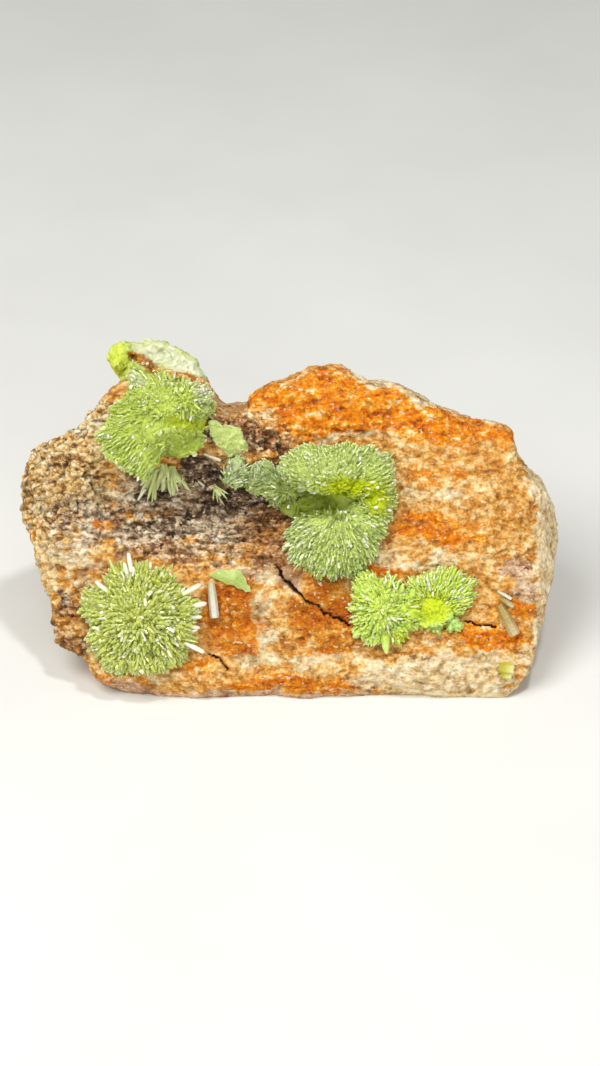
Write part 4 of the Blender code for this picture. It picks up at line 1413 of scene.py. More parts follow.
# A tint of one paints a prism with the glint colour, so the thick white ones are partly their own pale glass
# and partly painted highlight.
SPRAY_TIPS = [
    (-8.20, 6.95, 0.10, 0.6), (-7.95, 6.75, 0.12, 0.4), (-7.72, 7.05, 0.10, 0.7), (-7.50, 6.80, 0.12, 0.4),
    (-7.22, 7.05, 0.11, 1.0), (-7.40, 6.60, 0.10, 1.0), (-6.90, 6.80, 0.13, 0.5), (-6.60, 6.78, 0.15, 0.6),
    (-6.20, 6.55, 0.14, 0.4), (-5.85, 6.45, 0.14, 0.6), (-5.55, 6.35, 0.13, 0.4), (-5.10, 5.95, 0.13, 0.5),
    (-4.60, 5.70, 0.12, 0.4), (-3.90, 5.61, 0.12, 1.0), (-3.65, 4.75, 0.13, 1.0), (-3.98, 4.42, 0.10, 0.6),
    (-3.85, 4.12, 0.11, 1.0), (-3.95, 3.62, 0.10, 1.0), (-4.25, 3.25, 0.12, 0.6), (-3.75, 2.50, 0.12, 1.0),
    (-4.50, 2.10, 0.13, 0.5), (-5.34, 1.80, 0.13, 0.5), (-6.20, 1.45, 0.14, 0.4), (-7.04, 1.30, 0.14, 0.4),
    (-7.80, 1.35, 0.14, 0.6), (-8.37, 1.45, 0.13, 0.5), (-8.95, 2.10, 0.13, 0.4), (-9.25, 3.17, 0.13, 0.4),
    (-9.30, 4.00, 0.12, 0.6), (-9.15, 5.06, 0.11, 0.9), (-8.70, 5.75, 0.10, 1.0), (-8.50, 6.10, 0.12, 0.5),
]
SPRAY_SEED = 5
SPRAY_START = 0.70
SPRAY_START_RISE = 0.9
WHITE_TIP_RISE = 0.4
SPRAY_TIP_RISE = (0.2, 0.5)
SPRAY_TIP_SHARE = (0.6, 1.0)
SPRAY_TIP_WIDTH = (0.7, 1.1)


def spray_edge():
    """The long prisms round the left spray."""
    chances = np.random.default_rng(SPRAY_SEED)
    meshes = []
    for u, v, radius, tint in SPRAY_TIPS:
        white = tint == 1.0
        u0, v0 = SPRAY_MIDDLE + (np.array((u, v)) - SPRAY_MIDDLE) * SPRAY_START
        start = Vector((u0, v0, stone_height(u0, v0) + SPRAY_START_RISE))
        end = Vector((u, v, stone_height(u, v) + chances.uniform(*SPRAY_TIP_RISE) + WHITE_TIP_RISE * white))
        if not white:
            end = start + (end - start) * chances.uniform(*SPRAY_TIP_SHARE)
            radius = radius * chances.uniform(*SPRAY_TIP_WIDTH)
        meshes.append(placed_crystal("blunt" if white else "needle", start, end, radius, tint=tint))
    return meshes


spray = joined(spray + spray_edge(), "left")
finish_piece("left_needles", spray, spray_finish, "olive_crystal", "left_spray")

# %% [markdown]
# ## The ridge and its arm
# The middle growth overhangs like a roof. Under the roof a dome of needles bulges out, and from its left end
# an arm of thin grey-green shells reaches out. The roof and the dome are lobes, and the shells are sheets
# with drawn outlines. The arm has finer prisms than the roof, so they are two plans that share one finish.

# %% The ridge and the arm
RIDGE_LOBES = grown_from((2.40, 9.60, -0.9), [
    (1.10, 10.85, 0.75, 1.25, 0.92, 1.30, 0.26, 0.9), (2.45, 10.90, 0.90, 1.65, 0.98, 1.35, 0.24, 0.9),
    (3.65, 10.65, 0.70, 1.20, 1.10, 1.30, 0.22, 0.85), (1.80, 10.40, 0.85, 1.20, 0.60, 1.05, 0.20, 0.8),
    (4.10, 9.50, 0.30, 0.78, 1.35, 1.30, 0.30, 0.7), (1.30, 9.30, -0.10, 1.70, 0.85, 0.75, 0.12, 0.4),
    (2.60, 9.50, 0.00, 1.00, 0.80, 0.85, 0.12, 0.4), (1.80, 11.20, 0.25, 1.60, 0.56, 1.10, 0.22, 0.8),
    (3.70, 11.15, 0.25, 1.00, 0.58, 1.10, 0.22, 0.8), (4.35, 10.40, 0.25, 0.48, 1.20, 1.10, 0.22, 0.8),
    (0.05, 9.35, 0.05, 0.55, 0.42, 0.65, 0.22, 1.0),
]) + grown_from((2.35, 9.10, 0.35), [
    (2.10, 7.52, 0.15, 2.00, 1.42, 1.35, 0.42, 1.0), (3.45, 8.35, 0.15, 1.00, 1.10, 1.20, 0.42, 1.0),
])
ARM_LOBES = grown_from((-2.75, 10.10, -0.1), [
    (-2.25, 10.70, 0.00, 0.44, 0.50, 0.34, 0.20, 0.6),
]) + grown_from((-1.75, 9.90, -0.1), [
    (-1.20, 10.50, 0.00, 0.60, 0.58, 0.42, 0.22, 0.7),
]) + grown_from((0.20, 9.80, -0.3), [
    (-0.45, 10.30, 0.15, 0.52, 0.66, 0.58, 0.28, 1.0), (0.10, 10.05, 0.20, 0.62, 0.74, 0.72, 0.28, 1.0),
    (-0.35, 9.75, 0.05, 0.50, 0.42, 0.50, 0.26, 1.0),
])
SHELL_OUTLINE = [
    (-2.80, 10.25), (-2.78, 10.60), (-2.70, 10.90), (-2.55, 11.20), (-2.25, 11.34), (-2.00, 11.22),
    (-1.84, 10.95), (-1.80, 10.60), (-1.90, 10.30), (-2.20, 10.14), (-2.50, 10.10),
]
FOLD_OUTLINE = [
    (-1.80, 10.10), (-1.72, 10.55), (-1.62, 10.90), (-1.36, 11.14), (-1.00, 11.20), (-0.66, 11.00),
    (-0.45, 10.62), (-0.55, 10.15), (-0.90, 9.90), (-1.30, 9.80), (-1.60, 9.88),
]
ARM_SHEETS = [
    (SHELL_OUTLINE, (-2.30, 10.65), 0.50, 0.10, 0.50),
    (FOLD_OUTLINE, (-1.15, 10.45), 0.50, 0.15, 0.55),
]
RIDGE = {
    "lobes": RIDGE_LOBES, "sheets": [], "voxel": 0.066, "smoothing": 3, "ends": (0.18, 0.16, 0.15, 0.2, 0.5),
    "standing": (20, 0.20, 0.075, 0.4, 1.0, 0.6, 0.25),
    "lying": (23, 0.22, 0.055, 0.3, 1.0, 0.5, 0.25), "reach": 0.38, "lift": 0.25, "sparkle": 0.5,
}
ARM = {
    "lobes": ARM_LOBES, "sheets": ARM_SHEETS, "voxel": 0.055, "smoothing": 3,
    "ends": (0.07, 0.16, 0.15, 0.2, 1.0),
    "standing": (25, 0.20, 0.075, 0.4, 1.0, 0.6, 0.25),
    "lying": (28, 0.11, 0.04, 0.3, 1.0, 0.5, 0.0), "reach": 0.42, "lift": 0.0, "sparkle": 0.3,
}
RIDGE_TINGES = ("sea", "olive", "lime")

ridge_finish = crystal_finish(
    "green_pyromorphite", (194, 212, 112), (170, 188, 100), (208, 220, 164), tinges=RIDGE_TINGES,
)
ridge = grown(RIDGE, ridge_finish, RIDGE_TINGES) + grown(ARM, ridge_finish, RIDGE_TINGES)
print("ridge and arm:", sum(len(mesh.polygons) for mesh in ridge), "faces")

# %% [markdown]
# ## The lip of the roof
# Where the roof ends, the real growth has a lip of flat prisms that hang down, and behind it a beard of fine
# needles at the mouth of the hollow. Both are rows of single crystals. Every place and size is a little off
# by a seeded random amount, because an even row looks like a comb.

# %% Lip and beard
LIP_SEED = 9
LIP_COUNT = 15
LIP_SPAN = (-0.15, 2.5)
LIP_HEIGHT = 9.75
LIP_DROP = (0.55, 0.10)
LIP_OUT = 1.55
LIP_FALL = 0.5
LIP_MIDDLE = 1.2
LIP_RISE_JITTER = (-0.15, 0.15)
LIP_SWAY = (-0.12, 0.12)
LIP_END_JITTER = (-0.1, 0.1)
LIP_LEAN = 0.05
LIP_TINTS = (0.3, 1.0)
LIP_RADIUS = 0.17
LIP_FLATNESS = 0.7
BEARD_COUNT = 20
BEARD_SPAN = (0.5, 2.9)
BEARD_HEIGHT = 8.75
BEARD_OUT = 1.05
BEARD_JITTER = (-0.15, 0.1)
BEARD_RUNS = ((-0.15, 0.15), (0.15, 0.42), (0.2, 0.45))
BEARD_RADII = (0.05, 0.09)
BEARD_TINTS = (0.4, 1.0)


def lip():
    """Flat prisms that hang from the roof's edge, then the needles behind them."""
    chances = np.random.default_rng(LIP_SEED)
    meshes = []
    top, bottom = LIP_DROP
    for u in np.linspace(*LIP_SPAN, LIP_COUNT):
        out = typical_height(u, LIP_HEIGHT, WIDE_LOOK) + LIP_OUT - LIP_FALL * abs(u - LIP_MIDDLE)
        out = out + chances.uniform(*LIP_RISE_JITTER)
        start = Vector((u, LIP_HEIGHT + top, out))
        u1 = u + chances.uniform(*LIP_SWAY)
        end = Vector((u1, LIP_HEIGHT + bottom + chances.uniform(*LIP_END_JITTER), out - LIP_LEAN))
        tint = chances.uniform(*LIP_TINTS)
        meshes.append(placed_crystal("blunt", start, end, LIP_RADIUS, LIP_FLATNESS, tint))
    for u in chances.uniform(*BEARD_SPAN, BEARD_COUNT):
        v = BEARD_HEIGHT + chances.uniform(*BEARD_JITTER)
        start = Vector((u, v, typical_height(u, v, WIDE_LOOK) + BEARD_OUT))
        run = Vector([chances.uniform(*span) for span in BEARD_RUNS])
        radius = chances.uniform(*BEARD_RADII)
        tint = chances.uniform(*BEARD_TINTS)
        meshes.append(placed_crystal("needle", start, start + run, radius, tint=tint))
    return meshes


lip_crystals = lip()
for mesh in lip_crystals:
    paint_tinges(mesh, RIDGE_TINGES)
ridge = joined(ridge + lip_crystals, "ridge")
finish_piece("ridge_growth", ridge, ridge_finish, "green_crystal", "ridge_crystals")

# %% [markdown]
# ## The right dome and fan
# The lower right growth is the brightest. On its left is a dome of needles. On its right the crystals spread
# in one flat fan with a feathered edge, so the fan is a drawn sheet over a few low lobes, with very fine
# crystals along it.

# %% The right dome and fan
DOME_LOBES = grown_from((4.35, 4.50, -0.5), [
    (4.30, 4.50, 0.10, 1.15, 1.35, 1.20, 0.42, 1.0), (3.75, 5.35, 0.05, 0.70, 0.75, 0.90, 0.42, 1.0),
    (3.75, 3.60, 0.05, 0.65, 0.60, 0.80, 0.38, 1.0), (4.85, 3.50, 0.05, 0.75, 0.50, 0.80, 0.25, 0.7),
    (5.60, 4.40, 0.05, 0.85, 0.90, 0.80, 0.25, 0.7),
])
FAN_LOBES = grown_from((6.62, 4.15, -0.1), [
    (6.75, 4.45, 0.05, 0.80, 0.60, 0.60, 0.12, 0.30), (7.50, 5.15, 0.10, 0.90, 0.80, 0.45, 0.30, 0.9),
    (6.35, 5.25, 0.05, 0.75, 0.65, 0.45, 0.30, 0.9),
]) + grown_from((None, None, -0.3), [
    (7.70, 3.88, 0.10, 0.30, 0.30, 0.40, 0.12, 0.35), (7.92, 3.66, 0.10, 0.24, 0.24, 0.34, 0.12, 0.35),
    (7.55, 3.60, 0.05, 0.22, 0.24, 0.32, 0.12, 0.35), (6.92, 3.58, 0.05, 0.25, 0.26, 0.30, 0.12, 0.35),
    (6.55, 3.66, 0.05, 0.20, 0.20, 0.28, 0.12, 0.35),
])
FAN_OUTLINE = [
    (5.45, 4.60), (5.70, 5.20), (5.85, 5.70), (6.15, 5.50), (6.35, 5.80), (6.65, 5.90), (6.85, 5.78),
    (7.10, 6.12), (7.35, 5.90), (7.55, 6.18), (7.85, 6.10), (7.95, 5.82), (8.25, 5.86), (8.55, 5.58),
    (8.32, 5.35), (8.42, 5.12), (8.20, 4.98), (8.22, 4.75), (7.95, 4.66), (7.85, 4.35), (7.50, 4.00),
    (7.05, 3.70), (6.40, 3.62), (5.90, 3.72), (5.60, 4.05),
]
DOME = {
    "lobes": DOME_LOBES, "sheets": [], "voxel": 0.045, "smoothing": 3, "ends": (0.20, 0.20, 0.15, 0.65, 0.5),
    "standing": (40, 0.19, 0.080, 0.4, 0.8, 0.6, 0.25),
    "lying": (42, 0.20, 0.06, 0.3, 1.0, 0.5, 0.3), "reach": 0.42, "lift": 0.28, "sparkle": 0.4,
}
FAN = {
    "lobes": FAN_LOBES, "sheets": [(FAN_OUTLINE, (6.90, 4.75), 0.62, -0.12, 0.80)],
    "voxel": 0.04, "smoothing": 4, "ends": (0.085, 0.20, 0.1, 0.65, 0.9),
    "standing": (43, 0.16, 0.05, 0.4, 1.2, 0.6, 0.2),
    "lying": (44, 0.12, 0.05, 0.4, 1.0, 0.5, 0.08), "reach": 0.42, "lift": 0.03, "sparkle": 0.3,
}
RIGHT_TINGES = ("lime", "nub")

right_finish = crystal_finish(
    "bright_pyromorphite", (214, 238, 96), (190, 216, 92), (214, 232, 148), tinges=RIGHT_TINGES,
)
right = grown(DOME, right_finish, RIGHT_TINGES) + grown(FAN, right_finish, RIGHT_TINGES)
print("right dome and fan:", sum(len(mesh.polygons) for mesh in right), "faces")

# %% [markdown]
# ## The blades round the right growth
# The dome's longest blades stand out of its outline, so each is placed where the real one ends, as (u and v
# of its foot, u and v of its tip, radius, tint).

# %% The right growth's edge
RIGHT_TIPS = [
    (4.0, 5.2, 3.22, 6.35, 0.22, 0.5), (4.2, 5.0, 3.65, 5.95, 0.07, 1.0), (4.6, 5.0, 4.55, 6.05, 0.07, 1.0),
    (5.05, 5.25, 4.72, 6.12, 0.06, 1.0), (4.5, 3.6, 4.60, 2.42, 0.20, 0.5),
    (4.3, 3.6, 4.00, 2.75, 0.13, 0.5), (3.8, 3.8, 3.05, 3.20, 0.13, 0.6), (3.7, 4.2, 2.98, 3.85, 0.12, 0.5),
    (3.7, 4.5, 2.88, 4.50, 0.12, 0.6), (3.7, 4.8, 2.95, 5.10, 0.12, 0.5), (3.8, 5.1, 3.05, 5.65, 0.12, 0.6),
    (4.0, 5.3, 3.95, 6.15, 0.13, 0.5), (4.9, 3.6, 5.20, 2.90, 0.14, 0.5), (5.2, 4.8, 5.35, 5.65, 0.14, 0.5),
    (5.7, 4.8, 5.90, 5.60, 0.14, 0.5),
]
BLADE_RISE = (0.75, 0.55)
BLADE_FLATNESS = 0.6


def right_edge():
    """The long blades round the right growth."""
    foot, top = BLADE_RISE
    meshes = []
    for u0, v0, u1, v1, radius, tint in RIGHT_TIPS:
        start = Vector((u0, v0, stone_height(u0, v0) + foot))
        end = Vector((u1, v1, stone_height(u1, v1) + top))
        meshes.append(placed_crystal("blade", start, end, radius, BLADE_FLATNESS, tint))
    return meshes


right = joined(right + right_edge(), "right")
finish_piece("right_growth", right, right_finish, "bright_crystal", "right_fans")

# %% [markdown]
# ## The crown
# The largest growth drapes over the stone's upper left knob. It is one thick sheet with a scalloped, toothed
# rim, a raised fold over its middle, and an old pale crust over the knob's top with a yellow lobe beside it.
# The three outlines are drawn point by point, because the rim is what makes the crown recognisable, and
# lobes under the sheets give it its swells.

# %% The crown's outlines
CROWN_OUTLINE = [
    (-6.95, 14.45), (-7.45, 13.95), (-7.58, 13.65), (-8.00, 13.15), (-8.20, 12.70), (-8.46, 12.33),
    (-8.28, 12.00), (-8.30, 11.72), (-7.92, 11.52), (-7.58, 11.22), (-7.25, 11.15), (-7.00, 10.98),
    (-6.78, 11.05), (-6.66, 10.68), (-6.40, 10.48), (-6.16, 10.75), (-6.12, 11.05), (-5.80, 11.27),
    (-5.55, 11.60), (-5.10, 11.40), (-4.70, 11.42), (-4.42, 11.52), (-4.14, 11.60), (-3.82, 11.92),
    (-3.68, 12.24), (-3.78, 12.60), (-3.68, 12.93), (-3.55, 13.35), (-3.45, 13.80), (-3.54, 14.26),
    (-3.68, 14.50), (-4.42, 14.60), (-5.20, 14.95), (-5.80, 15.20), (-6.25, 15.45), (-6.72, 15.55),
    (-7.05, 15.48), (-7.02, 14.95),
]
CAP_OUTLINE = [
    (-7.12, 16.78), (-6.80, 16.70), (-6.49, 16.92), (-6.05, 16.76), (-5.60, 16.86), (-5.11, 16.56),
    (-4.65, 16.30), (-4.28, 16.02), (-3.96, 15.56), (-3.64, 15.08), (-3.42, 14.58), (-3.48, 14.23),
    (-3.75, 14.38), (-4.42, 14.70), (-5.20, 15.13), (-5.80, 15.40), (-6.49, 15.73), (-7.04, 15.78),
    (-7.10, 16.23),
]
YELLOW_OUTLINE = [
    (-7.13, 15.02), (-7.50, 14.88), (-7.73, 15.17), (-8.00, 15.49), (-8.23, 15.95), (-8.19, 16.32),
    (-7.91, 16.64), (-7.54, 16.78), (-7.13, 16.74), (-6.95, 16.27), (-7.10, 15.86), (-6.95, 15.42),
]
CROWN_SHEETS = [
    (CROWN_OUTLINE, (-5.60, 13.20), 0.55, 0.45, 0.75),
    (CAP_OUTLINE, (-5.05, 15.75), 0.22, 0.15, 0.50),
    (YELLOW_OUTLINE, (-7.55, 15.90), 0.35, 0.15, 0.55),
]
print("crown outlines have", sum(len(sheet[0]) for sheet in CROWN_SHEETS), "points")

# %% [markdown]
# ## The crown's crystals
# Very fine crystals lie along the crown and give it its silky streaks. Only its rim and its steep sides
# carry standing ones, because a thinning of one takes every standing crystal off the parts that face the
# viewer.

# %% The crown
CROWN_LOBES = grown_from((-5.10, 13.60, -0.5), [
    (-6.90, 12.90, 0.25, 1.10, 1.10, 0.75, 0.26, 0.8), (-7.50, 12.40, 0.15, 0.60, 0.55, 0.50, 0.28, 0.9),
    (-7.30, 13.40, 0.20, 0.50, 0.50, 0.55, 0.26, 0.9), (-6.55, 11.75, 0.25, 0.75, 0.55, 0.62, 0.26, 0.9),
    (-6.20, 14.15, 0.40, 0.85, 0.85, 0.80, 0.22, 0.7), (-5.70, 12.70, 0.45, 1.00, 0.90, 0.85, 0.20, 0.5),
]) + grown_from((None, None, -0.6), [
    (-4.55, 13.90, 0.90, 1.00, 0.72, 0.80, 0.22, 0.8), (-5.30, 13.75, 0.75, 1.00, 0.80, 0.80, 0.22, 0.6),
    (-4.70, 12.20, 0.25, 0.95, 0.66, 0.66, 0.10, 0.4), (-5.20, 12.70, 0.35, 1.20, 0.85, 0.75, 0.12, 0.4),
    (-6.15, 16.20, 0.05, 0.75, 0.50, 0.40, 0.12, 0.30), (-4.70, 15.60, 0.05, 0.70, 0.60, 0.40, 0.12, 0.30),
    (-7.60, 16.00, 0.15, 0.45, 0.50, 0.40, 0.10, 0.3),
])
CROWN = {
    "lobes": CROWN_LOBES, "sheets": CROWN_SHEETS, "voxel": 0.052, "smoothing": 4,
    "ends": (0.14, 0.18, 0.1, 0.65, 1.0),
    "standing": (5, 0.20, 0.11, 0.5, 1.3, 0.7, 0.3),
    "lying": (6, 0.155, 0.05, 0.4, 1.0, 0.6, 0.15), "reach": 0.40, "lift": 0.06, "sparkle": 0.25,
}
CROWN_TINGES = ("olive", "lime", "cream", "yellow", "rusty")

crown_finish = crystal_finish(
    "crown_pyromorphite", (194, 212, 98), (166, 184, 78), (208, 222, 148), tinges=CROWN_TINGES,
)
crown = joined(grown(CROWN, crown_finish, CROWN_TINGES), "crown")
finish_piece("crown_growth", crown, crown_finish, "green_crystal", "crown_crystals")

# %% [markdown]
# ## The small lobe
# Beside the crown sits a small pale lobe. No crystals stand out of it, so it is one sheet over one low ball,
# with the mosaic of prism ends and nothing on top.

# %% Small lobe
SMALL_LOBES = grown_from((None, None, -0.3), [(-2.60, 12.30, 0.10, 0.70, 0.60, 0.15, 0.10, 0.2)])
SMALL_OUTLINE = [
    (-3.50, 13.02), (-3.19, 13.09), (-2.88, 12.81), (-2.64, 12.71), (-2.39, 12.63), (-2.05, 12.71),
    (-1.95, 12.40), (-1.70, 11.85), (-1.75, 11.64), (-2.12, 11.71), (-2.25, 11.50), (-2.46, 11.43),
    (-2.70, 11.47), (-2.88, 11.71), (-2.97, 11.89), (-3.19, 12.02), (-3.33, 12.26), (-3.45, 12.47),
    (-3.52, 12.74),
]
SMALL_SHEET = (SMALL_OUTLINE, (-2.65, 12.25), 0.24, 0.08, 0.45)
SMALL_VOXEL = 0.04
SMALL_SMOOTHING = 4
SMALL_ENDS = (0.12, 0.22, 0.35, 0.65, 0.0)

pale_finish = crystal_finish("pale_pyromorphite", (198, 210, 130), (180, 194, 114), (206, 216, 152))
small_lobe = lobed_skin(SMALL_LOBES, SMALL_VOXEL, SMALL_SMOOTHING, [SMALL_SHEET])
fused_prisms(small_lobe, SMALL_LOBES, *SMALL_ENDS)
finish_piece("small_lobe_growth", small_lobe, pale_finish, "pale_green_crystal", "small_lobe")

# %% [markdown]
# ## Needles that hang under the crown
# Three little fans of grey-green needles hang from the crown's lower edge. They are too few and too loose
# for a skin, so each needle is placed on its own. A fan is (u, v, first and last angle in degrees, shortest
# and longest needle, how many).

# %% Hanging needles
HANGING_FANS = [
    (-5.95, 10.85, (-132, -92), (0.80, 1.75), 12),
    (-5.55, 11.05, (-115, -70), (0.60, 1.35), 10),
    (-5.20, 10.95, (-110, -45), (0.55, 1.25), 12),
]
HANGING_RADII = (0.05, 0.12)
HANGING_RISE = (0.15, 0.65)
HANGING_SEED = 17
HANGING_FOOT = 0.1
HANGING_FLATNESS = 0.7
HANGING_TURN = (-9, 9)
HANGING_SPREAD = ((-0.12, 0.12), (-0.1, 0.1))
HANGING_SHAPES = ["needle", "blunt", "blade"]
HANGING_TINTS = (0.2, 1.0)


def hanging_needles():
    """Single needles in three fans."""
    chances = np.random.default_rng(HANGING_SEED)
    meshes = []
    for u, v, (low, high), lengths, count in HANGING_FANS:
        angles = np.linspace(low, high, count) + chances.uniform(*HANGING_TURN, count)
        for angle in np.radians(angles):
            reach = chances.uniform(*lengths)
            aside, along = (chances.uniform(*span) for span in HANGING_SPREAD)
            start = Vector((u + aside, v + along, 0.0))
            end = start + Vector((math.cos(angle), math.sin(angle), 0.0)) * reach
            start.z = stone_height(start.x, start.y) + HANGING_FOOT
            end.z = stone_height(end.x, end.y) + chances.uniform(*HANGING_RISE)
            kind = chances.choice(HANGING_SHAPES)
            radius = chances.uniform(*HANGING_RADII)
            tint = chances.uniform(*HANGING_TINTS)
            meshes.append(placed_crystal(kind, start, end, radius, HANGING_FLATNESS, tint))
    return joined(meshes, "hanging")


grey_green = crystal_finish(
    "grey_green_pyromorphite", (192, 204, 124), (196, 208, 136), (220, 228, 180), frost=0.14,
)
finish_piece("hanging_growth", hanging_needles(), grey_green, "grey_green_crystal", "hanging_needles")

# %% [markdown]
# ## The leaf
# One crystal is a thin flat plate with a ragged outline that leans on the stone. Its outline is drawn, set
# on the stone twice, once a little lower, and closed with a middle point that is a touch higher. Its colour
# fades along it, so the tip attribute follows u.

# %% Leaf
LEAF = [
    (-3.59, 6.02), (-3.30, 6.16), (-2.94, 6.28), (-2.62, 6.24), (-2.30, 6.32), (-2.05, 6.20), (-1.98, 6.00),
    (-1.84, 5.88), (-1.80, 5.62), (-1.66, 5.50), (-1.61, 5.27), (-1.86, 5.24), (-1.98, 5.36), (-2.22, 5.40),
    (-2.40, 5.56), (-2.76, 5.61), (-3.02, 5.76), (-3.22, 5.84),
]
LEAF_LIFT = 0.14
LEAF_THICKNESS = 0.22
LEAF_DOMING = 0.05
LEAF_FADE = (-3.6, -1.6)
LEAF_TIP = 0.7
LEAF_TINT = 0.5
LEAF_GLOSS = 0.6


def leaf_plate():
    """A thin flat crystal that follows the stone under it."""
    bm = bmesh.new()
    rings = []
    for lift in (LEAF_LIFT - LEAF_THICKNESS, LEAF_LIFT):
        rings.append([bm.verts.new((u, v, typical_height(u, v, CLOSE_LOOK) + lift)) for u, v in LEAF])
    bm.faces.new(rings[0])
    band(bm, *rings)
    middle_u, middle_v = np.mean(LEAF, axis=0)
    level = typical_height(middle_u, middle_v, CLOSE_LOOK) + LEAF_LIFT + LEAF_DOMING
    middle = bm.verts.new((middle_u, middle_v, level))
    for i, corner in enumerate(rings[1]):
        bm.faces.new((corner, middle, rings[1][(i + 1) % len(LEAF)]))
    bmesh.ops.recalc_face_normals(bm, faces=bm.faces)
    mesh = bpy.data.meshes.new("leaf")
    bm.to_mesh(mesh)
    bm.free()
    points = points_of(mesh)
    put_attribute(mesh, "tip", LEAF_TIP * smooth_step(*LEAF_FADE, points[:, 0]))
    put_attribute(mesh, "tint", np.full(len(points), LEAF_TINT))
    put_attribute(mesh, "gloss", np.full(len(points), LEAF_GLOSS))
    return mesh


leaf_finish = crystal_finish("leaf_pyromorphite", (150, 170, 80), (168, 186, 104), (206, 216, 160))
finish_piece("leaf_growth", leaf_plate(), leaf_finish, "grey_green_crystal", "leaf_crystal")

# %% [markdown]
# ## Single crystals on the stone
# A few crystals lie on the stone by themselves: a tiny spray, a glassy needle, a grey prism, a yellow corner
# crystal and three pale slivers. They are one table of pieces. Each crystal is a row of (shape, u and v of
# one end, u and v of the other, radius, how far the second end rises, tint), and a little of it sinks into
# the stone.

# %% Single crystals
LYING = {
    "tiny_growth": ("tiny_spray", "grey_green_crystal", [
        ("needle", -3.42, 10.15, -2.85, 9.20, 0.055, 0.30, 0.9),
        ("needle", -3.30, 10.20, -2.98, 9.30, 0.05, 0.35, 0.7),
        ("needle", -3.30, 10.15, -3.15, 9.35, 0.05, 0.30, 0.5),
        ("needle", -3.25, 10.15, -2.70, 9.50, 0.05, 0.40, 0.6),
        ("needle", -3.30, 10.15, -2.65, 9.75, 0.05, 0.45, 0.8),
        ("needle", -3.30, 10.10, -3.38, 9.45, 0.05, 0.40, 0.5),
        ("blade", -3.35, 10.15, -3.00, 9.65, 0.12, 0.30, 0.4),
    ]),
    "needle_growth": ("loose_needle", "pale_needle", [("barrel", -3.44, 5.68, -3.28, 4.05, 0.21, 0.12, 0.5)]),
    "grey_growth": ("grey_prism", "grey_crystal", [
        ("barrel", 9.80, 4.65, 10.52, 3.28, 0.26, 0.10, 0.5),
        ("blunt", 9.85, 4.95, 10.45, 4.55, 0.14, 0.05, 0.8),
    ]),
    "corner_growth": ("corner_crystal", "yellow_crystal", [
        ("barrel", 9.75, 1.78, 10.45, 1.70, 0.32, 0.05, 0.5),
        ("barrel", 9.85, 1.45, 10.35, 1.40, 0.20, 0.02, 0.6),
    ]),
    "pale_slivers": (None, "pale_needle", [
        ("barrel", -3.75, 11.58, -2.98, 11.28, 0.085, 0.05, 0.6),
        ("barrel", 9.70, 5.30, 10.35, 4.92, 0.09, 0.03, 0.6),
        ("barrel", -4.05, 10.35, -3.78, 10.12, 0.06, 0.03, 0.6),
    ]),
}
LIE_SHARE = 0.6
FLAT_KINDS = {"blade": 0.18}
SINGLE_FINISHES = {
    "grey_green_crystal": grey_green,
    "pale_needle": crystal_finish(
        "glassy_needle", (226, 228, 196), (240, 240, 220), (250, 250, 240), 0.5, 0.3, 0.12,
    ),
    "grey_crystal": crystal_finish(
        "grey_prism_finish", (176, 150, 84), (192, 172, 112), (216, 200, 160), 0.7, 0.2, 0.2,
    ),
    "yellow_crystal": crystal_finish(
        "yellow_crystal_finish", (190, 180, 50), (214, 206, 96), (236, 230, 160), 0.6, 0.2,
    ),
}

for piece_name, (node_name, slot_name, rows) in LYING.items():
    meshes = []
    for kind, u0, v0, u1, v1, radius, rise, tint in rows:
        flatness = FLAT_KINDS.get(kind, 1.0)
        above = radius * flatness * LIE_SHARE
        start = Vector((u0, v0, stone_height(u0, v0) + above))
        end = Vector((u1, v1, stone_height(u1, v1) + above + rise))
        meshes.append(placed_crystal(kind, start, end, radius, flatness, tint))
    nodes = [node_name] if node_name else []
    finish_piece(piece_name, joined(meshes, piece_name), SINGLE_FINISHES[slot_name], slot_name, *nodes)

# %% [markdown]
# ## Floor
# The floor is a plain pale sheet, so nothing takes the eye off the object. The four shapes that the crust
# tree copied are removed, because every copy is made by now.

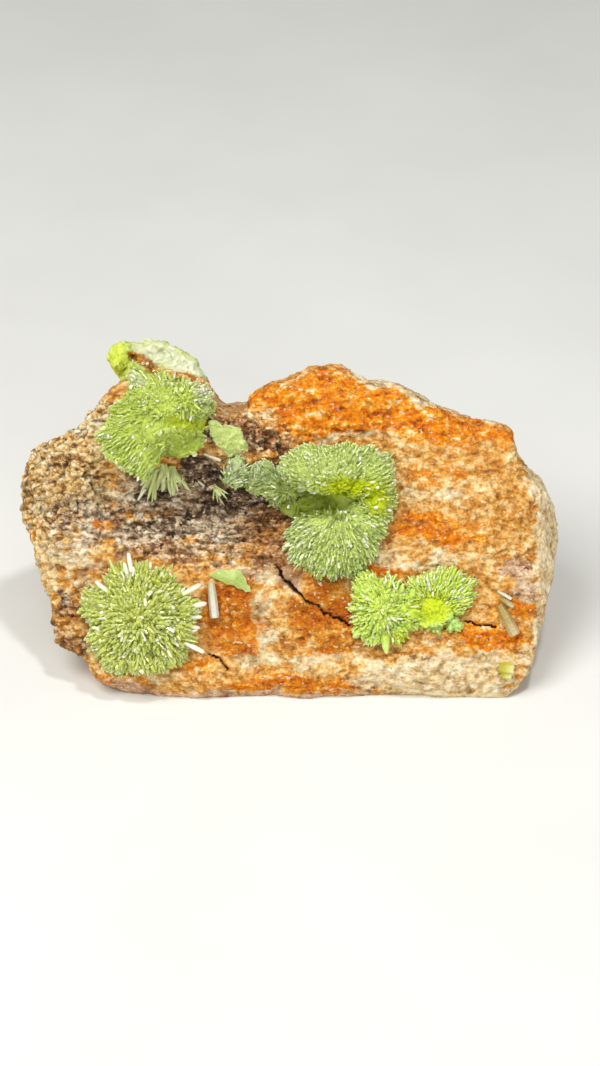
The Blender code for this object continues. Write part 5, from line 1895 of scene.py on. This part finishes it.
# %% Floor
FLOOR_HALF = 1.5
FLOOR_CELLS = 8
FLOOR_CLOUDS = (0.05, 3.0)
FLOOR_TONES = [(0.3, paint(222, 223, 219)), (0.7, paint(230, 231, 228))]
FLOOR_ROUGHNESS = 0.8


def add_floor():
    bm = bmesh.new()
    bmesh.ops.create_grid(bm, x_segments=FLOOR_CELLS, y_segments=FLOOR_CELLS, size=FLOOR_HALF)
    mesh = bpy.data.meshes.new("floor")
    bm.to_mesh(mesh)
    bm.free()
    made, tree, shader, place = new_finish("pale_floor")
    colour = strip(tree, cloud(tree, place, *FLOOR_CLOUDS), FLOOR_TONES)
    tree.links.new(colour, shader.inputs["Base Color"])
    shader.inputs["Roughness"].default_value = FLOOR_ROUGHNESS
    mesh.materials.append(made)
    floor = new_object("floor", mesh)


add_floor()
for shape in crystals.values():
    bpy.data.objects.remove(shape)
print("floor laid")

# %% [markdown]
# ## Light
# A large soft light above and in front does most of the work. A second one at the front fills the hollows, a
# small one gives the crystals their sparkle, and a pale sky lifts the shadows. Each light is (name, place in
# millimetres, size, power, colour), and all of them look at the middle of the object.

# %% Lights
LIGHTS = [
    ("key", (-60, -55, 130), 90, 0.17, (1.0, 0.98, 0.95)),
    ("front", (50, -130, 60), 80, 0.06, (1.0, 1.0, 1.0)),
    ("sparkle", (25, -20, 150), 14, 0.07, (1.0, 1.0, 1.0)),
]
SKY = (0.95, 0.94, 0.91)
SKY_STRENGTH = 0.32
OBJECT_MIDDLE = Vector((0.0, -1.0, 6.0)) * MM


def add_lights():
    for name, place, size, power, colour in LIGHTS:
        data = bpy.data.lights.new(name, "AREA")
        data.size = size * MM
        data.energy = power
        data.color = colour
        light = bpy.data.objects.new(name, data)
        light.location = Vector(place) * MM
        light.rotation_euler = (OBJECT_MIDDLE - light.location).to_track_quat("-Z", "Y").to_euler()
        bpy.context.scene.collection.objects.link(light)
    world = bpy.data.worlds.new("pale_sky")
    world.use_nodes = True
    sky = world.node_tree.nodes["Background"]
    sky.inputs["Color"].default_value = (*SKY, 1.0)
    sky.inputs["Strength"].default_value = SKY_STRENGTH
    bpy.context.scene.world = world


add_lights()
bpy.context.scene.view_settings.view_transform = "Standard"
print(len(LIGHTS), "lights")
